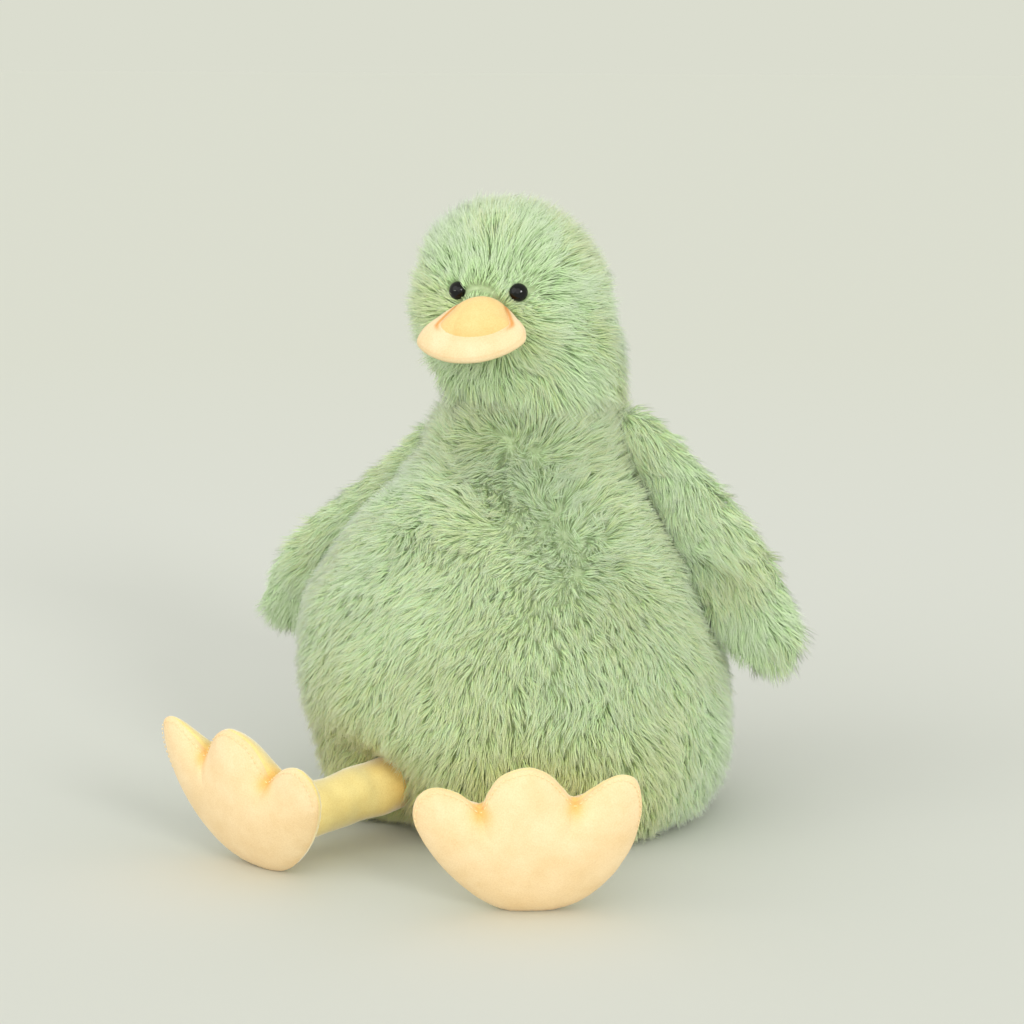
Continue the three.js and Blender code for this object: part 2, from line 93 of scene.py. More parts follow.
# Smooth curve through the points, each span a cubic whose slopes follow the neighbours
def curveThrough(points, count, closed=False):
    p = np.array(points, float)
    n = len(p)
    spans = n if closed else n - 1
    t = np.linspace(0, spans, count, endpoint=not closed)
    i = np.minimum(t.astype(int), spans - 1)
    f = (t - i)[:, None]
    a, b, c, d = (p[(i + k) % n if closed else np.clip(i + k, 0, n - 1)] for k in (-1, 0, 1, 2))
    return 0.5 * (2 * b + (c - a) * f + (2 * a - 5 * b + 4 * c - d) * f**2 + (3 * b - a - 3 * c + d) * f**3)


# Slow noise: a sum of sine waves with random directions, about -1 to 1 times how deep it is
def waves(points, size, seed, deep=1, count=9):
    own = np.random.default_rng(seed)
    ways = unit(own.normal(size=(count, 3))) * (2 * math.pi / size) * own.uniform(0.6, 1.5, (count, 1))
    total = np.sin(points @ ways.T + own.uniform(0, 2 * math.pi, count)).sum(-1)
    return deep * (total / math.sqrt(count / 2))


def drift(points, size, seed, deep=1):  # slow noise as a vector
    return np.stack([waves(points, size, seed + k, deep) for k in range(3)], -1)


# The ways to points from the nearest places on a segment, and how far along it those are, 0 to 1
def fromSegment(points, start, end):
    way = end - start
    t = np.clip(((points - start) @ way) / (way @ way), 0, 1)
    return points - start - t[..., None] * way, t


def makeObject(name, points, faces, maps=None, marks=None, vectors=None):
    mesh = bpy.data.meshes.new(name)
    corners = np.concatenate([f.ravel() for f in faces]).astype(np.int32)
    totals = np.concatenate([np.full(len(f), f.shape[1]) for f in faces]).astype(np.int32)
    mesh.vertices.add(len(points))
    mesh.vertices.foreach_set("co", (np.asarray(points, np.float32) * mm).ravel())
    mesh.loops.add(len(corners))
    mesh.loops.foreach_set("vertex_index", corners)
    mesh.polygons.add(len(totals))
    mesh.polygons.foreach_set("loop_start", np.concatenate([[0], np.cumsum(totals)[:-1]]).astype(np.int32))
    mesh.polygons.foreach_set("loop_total", totals)
    mesh.update(calc_edges=True)
    for mapName, places in (maps or {}).items():
        mesh.uv_layers.new(name=mapName).data.foreach_set("uv", places.astype(np.float32).ravel())
    for kind, field, given in (("FLOAT", "value", marks), ("FLOAT_VECTOR", "vector", vectors)):
        for markName, values in (given or {}).items():
            mark = mesh.attributes.new(markName, kind, "POINT")
            mark.data.foreach_set(field, values.astype(np.float32).ravel())
    mesh.shade_smooth()
    piece = bpy.data.objects.new(name, mesh)
    bpy.context.scene.collection.objects.link(piece)
    return piece


# A grid's values as one list: the first row is one point, and so is the last unless that end is open
def flatten(grid, openEnd=False):
    inner = grid[1:] if openEnd else grid[1:-1]
    parts = [grid[:1, 0], inner.reshape(-1, *grid.shape[2:])]
    return np.concatenate(parts if openEnd else parts + [grid[-1:, 0]])


# Points and faces of a grid of rows and columns whose columns wrap, with the faces pointing out
def skinOf(grid, openEnd=False):
    columns = grid.shape[1]
    points = flatten(grid, openEnd)
    last = len(points) - 1
    index = np.arange(1, last + 1 if openEnd else last).reshape(-1, columns)
    beside = np.roll(index, -1, axis=1)
    faces = [np.stack([index[:-1], beside[:-1], beside[1:], index[1:]], -1).reshape(-1, 4),
             np.stack([np.zeros(columns, int), beside[0], index[0]], -1)]
    if not openEnd:
        faces.append(np.stack([np.full(columns, last), index[-1], beside[-1]], -1))
    a, b, c, _ = np.moveaxis(points[faces[0]] - grid[-1].mean(0), 1, 0)
    return points, faces if dot(np.cross(a, b), c).sum() > 0 else [f[:, ::-1] for f in faces]


def makeSurface(name, grid, marks=None, openEnd=False):
    points, faces = skinOf(grid, openEnd)
    return makeObject(name, points, faces, marks={k: flatten(v, openEnd) for k, v in (marks or {}).items()})


# Rows at their heights and columns round the upright axis, at a distance from it
def roundAxis(distance, high, columns):
    turn, high = fullTurn(columns), np.repeat(high[:, None], columns, 1)
    return np.stack([np.sin(turn) * distance, np.cos(turn) * distance, high], -1)


# Rings square to a line, each at its place along the line and with its own radius
def ringsAlong(start, ahead, far, radius, columns):
    turn = fullTurn(columns)
    across = unit(np.cross(ahead, [0, 0, 1.0]))
    above = np.cross(across, ahead)
    return (start + far[:, None, None] * ahead + (radius[:, None] * np.cos(turn))[..., None] * across
            + (radius[:, None] * np.sin(turn))[..., None] * above)


# Outward normals of a wrapped grid from the slopes along its rows and columns
def gridNormals(grid):
    alongColumns = np.roll(grid, -1, 1) - np.roll(grid, 1, 1)
    normals = unit(np.cross(alongColumns, np.gradient(grid, axis=0)))
    outward = dot(normals, grid - grid.mean((0, 1))).sum()
    return normals if outward > 0 else -normals


def finishPiece(piece, material, body, replaced=()):
    piece.data.materials.append(materials[material])
    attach(piece, body)
    if replaced:
        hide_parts(*replaced)


# Materials

def srgb(r, g, b):
    return tuple(((c / 255 + 0.055) / 1.055) ** 2.4 if c > 10 else c / 255 / 12.92 for c in (r, g, b)) + (1,)


def newMaterial(name):
    material = bpy.data.materials.new(name)
    material.use_nodes = True
    return material, material.node_tree, material.node_tree.nodes["Principled BSDF"]


# Gives a node's inputs their values, or links them from other nodes' outputs
def setInputs(tree, node, values):
    for key, value in values.items():
        if isinstance(value, bpy.types.NodeSocket):
            tree.links.new(value, node.inputs[key])
        else:
            node.inputs[key].default_value = value


def addNode(tree, kind, values=None, **settings):
    node = tree.nodes.new("ShaderNode" + kind)
    for key, value in settings.items():
        setattr(node, key, value)
    setInputs(tree, node, values or {})
    return node


def addRamp(tree, source, stops):
    ramp = addNode(tree, "ValToRGB", {0: source})
    elements = ramp.color_ramp.elements
    while len(elements) < len(stops):
        elements.new(0.5)
    for element, (place, colour) in zip(elements, stops):
        element.position, element.color = place, srgb(*colour)
    return ramp.outputs[0]


def addMath(tree, kind, first, second=0):
    return addNode(tree, "Math", {0: first, 1: second}, operation=kind).outputs[0]


def addMix(tree, blend, share, first, second):
    values = {0: share, 6: first, 7: second}
    return addNode(tree, "Mix", values, data_type="RGBA", blend_type=blend).outputs[2]


# Noise on Object coordinates, with its scale in cells to a metre
def addNoise(tree, scale, detail=2):
    place = addNode(tree, "TexCoord").outputs["Object"]
    return addNode(tree, "TexNoise", {"Vector": place, "Scale": scale, "Detail": detail}).outputs[0]


def addBump(tree, height, deep, strength=1):
    return addNode(tree, "Bump", {"Height": height, "Distance": deep, "Strength": strength}).outputs[0]


# Strands go paler from root to tip: partly their own colour, partly painted shade of the deep pile towards
# the root
fur = {
    "along": [(0.05, (182, 206, 144)), (0.4, (216, 240, 182)), (0.72, (240, 253, 210)), (1, (250, 254, 238))],
    "mint": (244, 254, 247), "olive": (255, 240, 196), "dark": 0.5, "light": 1.0, "bands": 4,
    "roughness": 0.7, "specular": 0.25, "sheen": 0.42, "sheenRoughness": 0.5,
}


# The strand map holds the tint band and tone across, and the place from root to tip upwards
def furMaterial():
    material, tree, shader = newMaterial("sageFur")
    place = addNode(tree, "UVMap", uv_map="strand").outputs[0]
    split = addNode(tree, "SeparateXYZ", {0: place})
    scaled = addMath(tree, "MULTIPLY", split.outputs[0], fur["bands"])
    band = addMath(tree, "DIVIDE", addMath(tree, "FLOOR", scaled), fur["bands"] - 1)
    tone = addMath(tree, "MULTIPLY", addMath(tree, "FRACT", scaled), fur["light"] - fur["dark"])
    level = addMath(tree, "ADD", tone, fur["dark"])
    grey = addNode(tree, "CombineColor", {0: level, 1: level, 2: level}).outputs[0]
    along = addRamp(tree, split.outputs[1], fur["along"])
    tint = addMix(tree, "MIX", band, srgb(*fur["mint"]), srgb(*fur["olive"]))
    tinted = addMix(tree, "MULTIPLY", 1, along, tint)
    setInputs(tree, shader, {
        "Base Color": addMix(tree, "MULTIPLY", 1, tinted, grey), "Roughness": fur["roughness"],
        "Specular IOR Level": fur["specular"], "Sheen Weight": fur["sheen"],
        "Sheen Roughness": fur["sheenRoughness"],
    })
    return material


# Each velour's colour, and the warm colour of its painted shade in creases
velour = {
    "yellowVelour": {"colour": (255, 237, 164), "creaseShade": (255, 208, 116), "sheen": 0.9},
    "soleVelour": {"colour": (255, 229, 184), "creaseShade": (250, 196, 108), "sheen": 0.2},
    "domeVelour": {"colour": (250, 216, 150), "creaseShade": (220, 138, 48), "sheen": 0.2},
    "lipVelour": {"colour": (248, 226, 184), "creaseShade": (230, 156, 72), "sheen": 0.2},
}
nap = {
    "mottleScale": 90, "mottleDetail": 4, "mottle": [(0.3, (247, 242, 232)), (0.7, (255, 255, 255))],
    "fineScale": 1500, "fine": [(0.25, (246, 242, 234)), (0.65, (255, 255, 255))],
    "deep": 0.00025, "strength": 0.6, "roughness": 0.85, "specular": 0.2, "sheenRoughness": 0.4,
}


# Short brushed pile: broad mottling and fine nap on a colour, warmer and deeper in the creases as painted
# shade
def velourGroup():
    group = bpy.data.node_groups.new("velourNap", "ShaderNodeTree")
    for way, name, kind in (("INPUT", "Colour", "Color"), ("INPUT", "Crease Colour", "Color"),
                            ("INPUT", "Crease", "Float"), ("INPUT", "Nap Scale", "Float"),
                            ("OUTPUT", "Colour", "Color"), ("OUTPUT", "Height", "Float")):
        group.interface.new_socket(name, in_out=way, socket_type="NodeSocket" + kind)
    given = group.nodes.new("NodeGroupInput").outputs
    colour = addMix(group, "MIX", given["Crease"], given["Colour"], given["Crease Colour"])
    broad = addNoise(group, nap["mottleScale"], nap["mottleDetail"])
    fine = addNoise(group, given["Nap Scale"])
    for noise, stops in ((broad, nap["mottle"]), (fine, nap["fine"])):
        colour = addMix(group, "MULTIPLY", 1, colour, addRamp(group, noise, stops))
    setInputs(group, group.nodes.new("NodeGroupOutput"), {"Colour": colour, "Height": fine})
    return group


def velourMaterial(name, group):
    material, tree, shader = newMaterial(name)
    look = velour[name]
    # the crease mark is painted shade: how far the colour goes to the warm crease colour
    creaseShade = addNode(tree, "Attribute", attribute_name="creaseShade").outputs["Fac"]
    cloth = addNode(tree, "Group", node_tree=group)
    setInputs(tree, cloth, {"Colour": srgb(*look["colour"]), "Crease Colour": srgb(*look["creaseShade"]),
                            "Crease": creaseShade, "Nap Scale": nap["fineScale"]})
    setInputs(tree, shader, {
        "Base Color": cloth.outputs["Colour"], "Roughness": nap["roughness"],
        "Normal": addBump(tree, cloth.outputs["Height"], nap["deep"], nap["strength"]),
        "Specular IOR Level": nap["specular"], "Sheen Weight": look["sheen"],
        "Sheen Roughness": nap["sheenRoughness"],
    })
    return material


# Knitted, moulded or spun stuff: two colours mixed by noise, with bumps where it is knitted
plain = {
    "furBacking": {"colour": (196, 214, 168), "shade": (176, 196, 146), "roughness": 0.9, "scale": 420,
                   "detail": 3, "deep": 0.0006},
    "blackBead": {"colour": (4, 4, 5), "shade": (3, 3, 4), "roughness": 0.03, "scale": 60, "specular": 0.36},
    "seamThread": {"colour": (255, 234, 184), "shade": (250, 222, 160), "roughness": 0.7, "scale": 900},
    "spunFibre": {"colour": (246, 245, 240), "shade": (226, 226, 220), "roughness": 1, "scale": 300},
    "mouldedWasher": {"colour": (232, 232, 226), "shade": (222, 222, 216), "roughness": 0.45, "scale": 200},
}


def plainMaterial(name):
    material, tree, shader = newMaterial(name)
    look = plain[name]
    noise = addNoise(tree, look["scale"], look.get("detail", 2))
    setInputs(tree, shader, {
        "Base Color": addRamp(tree, noise, [(0.3, look["shade"]), (0.7, look["colour"])]),
        "Roughness": look["roughness"], "Specular IOR Level": look.get("specular", 0.5),
    })
    if "deep" in look:
        setInputs(tree, shader, {"Normal": addBump(tree, noise, look["deep"])})
    return material


velourNap = velourGroup()
materials = {"sageFur": furMaterial()}
materials.update({name: velourMaterial(name, velourNap) for name in velour})
materials.update({name: plainMaterial(name) for name in plain})
print("materials made")


# Body skin: the outline runs out along the seat, up the side through the outline shares and over the
# neck's dome, and is turned about the upright axis. A tuck round each leg is taken from its radius, and
# each height then moves aside with the body's lean.

body = {
    "bellyRadius": 102, "neckHigh": 169, "neckRadius": 47, "edgeAngle": 84, "seatRadius": 70,
    "outlineShares": [
        (0.835, 0.019), (0.911, 0.069), (0.965, 0.161), (0.995, 0.288), (1, 0.403),
        (0.97, 0.53), (0.901, 0.645), (0.812, 0.748), (0.678, 0.863), (0.535, 0.95),
    ],
    "skinDepth": 3.8,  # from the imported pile's surface in to the backing
    "seatHigh": 1,
    "tuckDeep": {"left": 5, "right": 20}, "tuckHigh": (34, 60), "tuckSpread": 17, "legAngle": 25.2,
    "leanHeights": [0, 40, 70, 105, 140, 165, 190, 220], "leanAside": [2, 2.5, -2.6, -5.6, -2.4, 3.5, 6, 7.5],
    "columns": 120, "rows": 90, "seatSteps": 40, "sideSteps": 400, "domeSteps": 80,
}


def bodyGrid():
    inset, edge = body["skinDepth"], math.radians(body["edgeAngle"])
    edgeHigh = body["neckHigh"] + body["neckRadius"] * math.cos(edge)
    shares = np.array(body["outlineShares"]) * [body["bellyRadius"], edgeHigh]
    side = curveThrough([(body["seatRadius"], 0), *shares, (body["neckRadius"] * math.sin(edge), edgeHigh)],
                        body["sideSteps"])
    slope = unit(np.gradient(side, axis=0))
    side = side + np.stack([-slope[:, 1], slope[:, 0]], -1) * inset
    side[:, 1] = np.maximum(side[:, 1], body["seatHigh"])
    angle = np.radians(np.linspace(body["edgeAngle"], 0, body["domeSteps"]))[1:]
    dome = np.stack([np.sin(angle), np.cos(angle)], -1) * (body["neckRadius"] - inset) + [0, body["neckHigh"]]
    out = np.linspace(0, side[0, 0], body["seatSteps"])[:-1]
    line = np.concatenate([np.stack([out, np.full_like(out, body["seatHigh"])], -1), side, dome])
    far = distanceAlong(line)
    even = np.linspace(0, far[-1], body["rows"])
    radius, high = np.interp(even, far, line[:, 0]), np.interp(even, far, line[:, 1])
    turn = fullTurn(body["columns"])
    degrees = np.degrees(np.arctan2(np.sin(turn), -np.cos(turn)))
    tuck = sum(deep * bell(degrees - sides[name] * body["legAngle"], body["tuckSpread"])
               for name, deep in body["tuckDeep"].items())
    tuck = tuck * ((1 - ease(high, *body["tuckHigh"])) * ease(radius, 0, body["seatRadius"]))[:, None]
    grid = roundAxis(radius[:, None] - tuck, high, body["columns"])
    return grid + np.interp(grid[..., 2], body["leanHeights"], body["leanAside"])[..., None] * cameraRight


bodySkinGrid = bodyGrid()
finishPiece(makeSurface("body_skin", bodySkinGrid), "furBacking", "body",
            ["body_cover", "body_fill", "bean_pouch"])
print("body skin made")


# Head skin: at each height the radius is a share of the widest, (1 - height share ^ power) ^ (1 / power),
# with a higher power, for fuller cheeks, below the widest place

head = {
    "turn": 3.5, "aside": 1.8, "wide": 96.4, "deep": 91, "middle": 245, "up": 53.2, "down": 62,
    "crownPower": 2.0, "cheekPower": 2.55, "skinDepth": 6.4, "columns": 96, "rows": 70,
    "leanHeights": [180, 205, 222, 245, 265, 280, 296], "leanAside": [11, 10.3, 6, -1.8, -2.2, -3.2, -4.4],
}
headTurned = turning("Z", head["turn"])


def headRound(share):
    power = np.where(share < 0, head["cheekPower"], head["crownPower"])
    return np.maximum(1 - np.abs(share) ** power, 0) ** (1 / power)


def headGrid():
    share = np.sin(np.linspace(-math.pi / 2, math.pi / 2, head["rows"]))
    tall = np.where(share < 0, head["down"], head["up"]) - head["skinDepth"]
    grid = roundAxis(headRound(share)[:, None], head["middle"] + share * tall, head["columns"])
    grid[..., 0] = grid[..., 0] * (head["wide"] / 2 - head["skinDepth"]) - head["aside"]
    grid[..., 1] *= head["deep"] / 2 - head["skinDepth"]
    return grid @ headTurned.T + np.interp(
        grid[..., 2], head["leanHeights"], head["leanAside"])[..., None] * cameraRight


# Eyes: glossy beads, each nearly a full ball seated in its cup. The pile is packed down round them, so
# the backing rises there by seatHigh.
eyes = {
    "apart": 30.4, "high": 258.3, "cupDeep": 4.2, "aside": {"left": 1.1, "right": 0},
    "radius": 4.4, "proud": 4.9, "behind": 0.8, "lift": 0.6, "columns": 40, "rows": 28,
    "seatRadius": 10, "seatHigh": 2.1, "seatBack": 2,
}
eyeFloors, eyeWays = {}, {}
for name, s in sides.items():
    x, high = s * eyes["apart"] / 2 + eyes["aside"][name], eyes["high"] - head["middle"]
    around = headRound(high / head["up"])
    reach = head["deep"] / 2 * math.sqrt(around**2 - (x / (head["wide"] / 2)) ** 2)
    outward = unit(np.array([x, -reach, high]) / np.array([head["wide"], head["deep"], 2 * head["up"]]) ** 2)
    surface = np.array([x - head["aside"], -reach, eyes["high"]])
    eyeFloors[name], eyeWays[name] = headTurned @ (surface - outward * eyes["cupDeep"]), headTurned @ outward

headSkinGrid = headGrid()
headNormals = gridNormals(headSkinGrid)
for name, way in eyeWays.items():
    away = lengthOf(headSkinGrid - (eyeFloors[name] - way * eyes["seatBack"]))
    headSkinGrid += way * (eyes["seatHigh"] * np.exp(-((away / eyes["seatRadius"]) ** 4)))[..., None]
finishPiece(makeSurface("head_skin", headSkinGrid), "furBacking", "head",
            ["head_cover", "head_fill"])

# Neck: the wad of stuffing between body and head, its radius the square root of a half wave of its height
stem = {"radius": 27, "low": 160, "high": 214, "power": 0.5, "columns": 40, "rows": 24}
theta = np.linspace(0, math.pi, stem["rows"])
high = stem["low"] + (1 - np.cos(theta)) / 2 * (stem["high"] - stem["low"])
wad = roundAxis(np.sin(theta)[:, None] ** stem["power"] * stem["radius"], high, stem["columns"])
finishPiece(makeSurface("neck_stuffing", wad), "spunFibre", "neck", ["neck_fill"])
print("head skin and neck made")

half = eyes["proud"] / 2 + eyes["behind"]
theta = np.linspace(-math.pi / 2, math.pi / 2, eyes["rows"])
far = eyes["proud"] - half + eyes["lift"] + np.sin(theta) * half
for name in sides:
    bead = ringsAlong(eyeFloors[name], eyeWays[name], far, np.cos(theta) * eyes["radius"], eyes["columns"])
    finishPiece(makeSurface("eye_bead_" + name, bead), "blackBead", "head", ["eye_" + name])
    washer = frame["nodes"]["eye_washer_" + name]
    washer.data.materials.clear()
    washer.data.materials.append(materials["mouldedWasher"])


# Bill: two stuffed pads on one tilted plane, a wide lower one and the dome sewn on it.
# Outlines are half ones, as places across and towards the tip, from the front middle to the back middle.

bill = {
    "place": (-3.4, -57, 236.5), "droop": 42, "roll": 3, "columns": 160, "rows": 30, "searchSteps": 200,
    "plate": {
        "half": [(0, 13.5), (9, 12.6), (18, 9), (24.5, 4), (26.8, -0.5), (25, -7), (20, -13), (12, -21),
                 (0, -27)],
        "middle": -6, "shift": 0, "base": 0, "top": 6.2, "under": 4.2, "edge": 4.2, "power": 0.55,
    },
    "dome": {
        "half": [(0, 4.4), (8, 3.4), (14.5, 0.2), (18, -4.6), (16.2, -9.5), (13.6, -14.5), (11, -19),
                 (5.5, -22.6), (0, -23.6)],
        "middle": -9, "shift": 2, "base": 2.6, "top": 8.4, "under": 3, "edge": 2.6, "power": 0.6,
    },
    "foldDeep": 0.35, "foldWide": 0.7, "foldOver": 6, "fold": ((-1, -20), (-7, 1)),
    # painted shade in creases at a share of the way to a pad's edge, each with its width; it fades out
    # towards the tip
    "domeFoot": (1, 0.045), "plateCrease": (1.02, 0.06), "creaseFade": (-1, 6),
    "lipSeam": (0.968, 0.012), "lipDark": 0.14, "lipUnder": 4,
}
billTurned = headTurned @ turning("Y", -bill["roll"]) @ turning("X", bill["droop"])
billPlace = headTurned @ np.array(bill["place"], float)


def padOutline(shape, count):
    half = shape["half"]
    whole = half + [(-x, v) for x, v in half[::-1] if x > 0]
    return curveThrough(whole, count, closed=True) + [shape["shift"], 0]


# A pad's height over the tilted plane: its bulge times (1 - share of the way to its edge ^ edge) ^ power
def padHigh(share, shape, bulge):
    return shape["base"] + bulge * np.maximum(1 - share ** shape["edge"], 0) ** shape["power"]


# Rows run from the top middle over the sewn edge to the underside's middle
def padGrid(shape):
    outline = padOutline(shape, bill["columns"])
    middle = np.array([shape["shift"], shape["middle"]])
    t = np.linspace(0, math.pi, 2 * bill["rows"] + 1)
    share = np.sin(t)[:, None]
    high = padHigh(share, shape, np.where(t < math.pi / 2, shape["top"], -shape["under"])[:, None])
    flat = middle + (outline - middle) * share[..., None]
    return np.stack([flat[..., 0], -flat[..., 1], np.repeat(high, bill["columns"], 1)], -1), share


# How far out points are in a pad's outline, 1 at its edge, and their height over the tilted plane
def padShare(points, shape):
    local = (points - billPlace) @ billTurned
    outline = padOutline(shape, bill["searchSteps"]) - [shape["shift"], shape["middle"]]
    angle = np.arctan2(outline[:, 0], outline[:, 1])
    x, v = local[..., 0] - shape["shift"], -local[..., 1] - shape["middle"]
    reach = np.interp(np.arctan2(x, v), angle, lengthOf(outline), period=2 * math.pi)
    return np.hypot(x, v) / reach, local[..., 2]


def makePad(key, material, replaced):
    local, share = padGrid(bill[key])
    if key == "dome":  # a soft fold runs down the dome, and its foot is the deepest crease, painted with shade
        start, end = np.array(bill["fold"], float)
        away, _ = fromSegment(local[..., :2] * [1, -1], start, end)
        fold = bell(lengthOf(away), bill["foldWide"])
        local[..., 2] -= bill["foldDeep"] * fold * (local[..., 2] > bill["foldOver"])
    points = local @ billTurned.T + billPlace
    # painted shade: at the dome's foot, on the plate round the dome, and faintly along the seam under the lip
    high, fade = local[..., 2], ease(local[..., 1], *bill["creaseFade"])
    if key == "dome":
        place, wide = bill["domeFoot"]
        creaseShade = bell(share - place, wide) * fade
    else:
        inDome, _ = padShare(points, bill["dome"])
        place, wide = bill["plateCrease"]
        seam, seamWide = bill["lipSeam"]
        dark = bill["lipDark"] * bell(share - seam, seamWide) * (high < bill["lipUnder"])
        creaseShade = np.maximum(bell(inDome - place, wide) * (high > 0) * fade, dark)
    pad = makeSurface("bill_" + key, points, {"creaseShade": creaseShade})
    finishPiece(pad, material, "head", replaced)


makePad("plate", "lipVelour", ["bill_lower", "bill_lower_fill"])
makePad("dome", "domeVelour", ["bill_upper", "bill_upper_fill"])
print("eyes and bill made")


# Wings: flat tubes whose width grows with the share of the length, on a middle line that bows sideways,
# rounded off at the root by a quarter turn and at the tip by the root of 1 - share ^ tipPower

wing = {
    "long": {"left": 124, "right": 130.4}, "rootWide": 24, "tipWide": 47, "thick": 16,
    "splay": {"left": 38.8, "right": 42.8}, "back": {"left": 8, "right": 5},
    "bow": {"left": 4.5, "right": -2.5}, "bowPower": 0.6,
    "rootOut": {"left": 9, "right": -5.6}, "rootUp": {"left": 9.5, "right": 2},
    "fullShare": 0.85, "tipPower": 3.4, "crowding": 1.5, "skinDepth": 3.4, "columns": 48, "rows": 80,
}


# How far a wing's middle line stands outwards at a share of its length
def wingBow(name, along):
    return sides[name] * (wing["bow"][name] * np.sin(math.pi * along ** wing["bowPower"])
                          + wing["rootOut"][name] * (1 - along) ** 2)


def wingGrid(name, frameTurn):
    inset, capRows = wing["skinDepth"], wing["rows"] // 4
    rootAngle = np.linspace(math.pi / 2, 0, capRows, endpoint=False)
    length = 1 - (1 - np.linspace(0, 1, wing["rows"] - capRows)) ** wing["crowding"]  # rows crowd to the tip
    along = np.concatenate([np.zeros(capRows), length])
    rising = np.concatenate([np.sin(rootAngle), np.zeros(len(length))])
    rounding = np.concatenate([np.cos(rootAngle), np.sqrt(1 - length ** wing["tipPower"])])
    rootWide, tipWide, thick = (wing[k] / 2 - inset for k in ("rootWide", "tipWide", "thick"))
    wide = (rootWide + (tipWide - rootWide) * ease(along, 0, wing["fullShare"])) * rounding
    high = rising * (rootWide + wing["rootUp"][name]) - along * (wing["long"][name] - inset)
    turn = fullTurn(wing["columns"])
    x = np.cos(turn) * wide[:, None] + wingBow(name, along)[:, None]
    y = np.sin(turn) * (thick * rounding)[:, None]
    grid = np.stack([x, y, np.repeat(high[:, None], turn.size, 1)], -1)
    return grid @ frameTurn.T + jointPlace[f"wing_{name}_lift"]


wingFrames, wingGrids = {}, {}
for name, s in sides.items():
    wingFrames[name] = turning("Z", s * wing["back"][name]) @ turning("Y", -s * wing["splay"][name])
    wingGrids[name] = wingGrid(name, wingFrames[name])
    finishPiece(makeSurface("wing_skin_" + name, wingGrids[name]), "furBacking", "wing_" + name,
                ["wing_cover_" + name, "wing_fill_" + name])
print("wing skins made")


# Legs: a stuffed tube from hip to ankle with round ends, its radius going evenly from one end's to the
# other's less a sine-squared waist, and wrinkled by slow noise

leg = {
    "hipRadius": 13.6, "ankleRadius": 12.9, "intoBody": 15, "intoFoot": 4, "waist": 0.5, "columns": 64,
    "capRows": 14, "tubeRows": 42, "wrinkle": (16, 5, 0.35), "floor": 0.3,
    "hipShade": 0.8, "hipGlow": 0.5, "footShade": 0.2, "footGlow": 0.85,
}


def legLine(name):
    hip, ankle = jointPlace[f"leg_{name}_swing"], jointPlace[f"foot_{name}_flex"]
    return hip, ankle, unit(ankle - hip)


def legGrid(name):
    hip, ankle, ahead = legLine(name)
    hip, ankle = hip - ahead * leg["intoBody"], ankle + ahead * leg["intoFoot"]
    long = lengthOf(ankle - hip)
    cap, tube = np.linspace(0, math.pi / 2, leg["capRows"]), np.linspace(0, 1, leg["tubeRows"])
    atHip, atAnkle = leg["hipRadius"], leg["ankleRadius"]
    far = np.concatenate([-atHip * np.cos(cap), tube * long, long + atAnkle * np.sin(cap)])
    narrowed = atHip + (atAnkle - atHip) * tube - leg["waist"] * np.sin(math.pi * tube) ** 2
    radius = np.concatenate([atHip * np.sin(cap), narrowed, atAnkle * np.cos(cap)])
    grid = ringsAlong(hip, ahead, far, radius, leg["columns"])
    bumps = waves(grid, *leg["wrinkle"])
    bumps *= (np.sin(np.linspace(0, math.pi, len(far))) ** 0.5)[:, None]
    grid += unit(grid - (hip + far[:, None, None] * ahead)) * bumps[..., None]
    grid[..., 2] = np.maximum(grid[..., 2], leg["floor"])
    # painted warm shade at both ends of the leg, where it goes into the body and into the foot
    creaseShade = leg["hipShade"] * ease(long - far, long * leg["hipGlow"], long)
    creaseShade += leg["footShade"] * ease(far, long * leg["footGlow"], long)
    return grid, {"creaseShade": np.repeat(creaseShade[:, None], leg["columns"], 1)}


# Feet: two panels over a webbed outline, sewn along it. Each is as high as the membrane over the outline,
# to the power of edgePower, times its bulge, with puckers at the seam and a crease below each notch.

foot = {
    "wide": 98, "tall": 75, "soleBulge": 12.5, "backBulge": 16.5, "heelAhead": 19, "sink": -0.5,
    "aside": {"left": -4, "right": -0.5}, "floor": 0.05,
    "lean": 20, "roll": {"left": 0, "right": -4}, "turn": {"left": 0, "right": 5}, "legAngle": 25.2,
    "outlineShares": [
        (0, 0), (0.12, 0.012), (0.25, 0.08), (0.37, 0.235), (0.45, 0.42), (0.488, 0.6), (0.498, 0.755),
        (0.475, 0.9), (0.42, 0.948), (0.355, 0.925), (0.28, 0.85), (0.205, 0.77), (0.155, 0.85), (0.09, 0.95),
        (0, 0.998), (-0.115, 0.945), (-0.172, 0.835), (-0.208, 0.73), (-0.3, 0.825), (-0.4, 0.872),
        (-0.475, 0.82), (-0.5, 0.68), (-0.452, 0.5), (-0.35, 0.29), (-0.21, 0.1), (-0.09, 0.012),
    ],
    "notches": [11, 17], "creaseEndShares": [(0.17, 0.6), (-0.17, 0.56)],
    "middleShare": 0.36, "columns": 240, "rows": 44, "cell": 0.8, "rounds": 2600, "smoothings": 3,
    "edgePower": 0.62, "pucker": 0.28, "puckerFade": 3.5, "puckerFrom": 1.5, "puckerTurns": (61, 7, 13),
    "creaseDeep": 1.3, "creaseWide": 1.6, "creaseFrom": 2,
    "notchShade": 0.9, "notchGlow": 4, "seamShade": 0.12, "seamGlow": 1.2,
}
footSize = [foot["wide"], foot["tall"]]
footOutline = curveThrough(foot["outlineShares"], foot["columns"], closed=True) * footSize
notches = np.array(foot["outlineShares"])[foot["notches"]] * footSize
creaseEnds = np.array(foot["creaseEndShares"]) * footSize


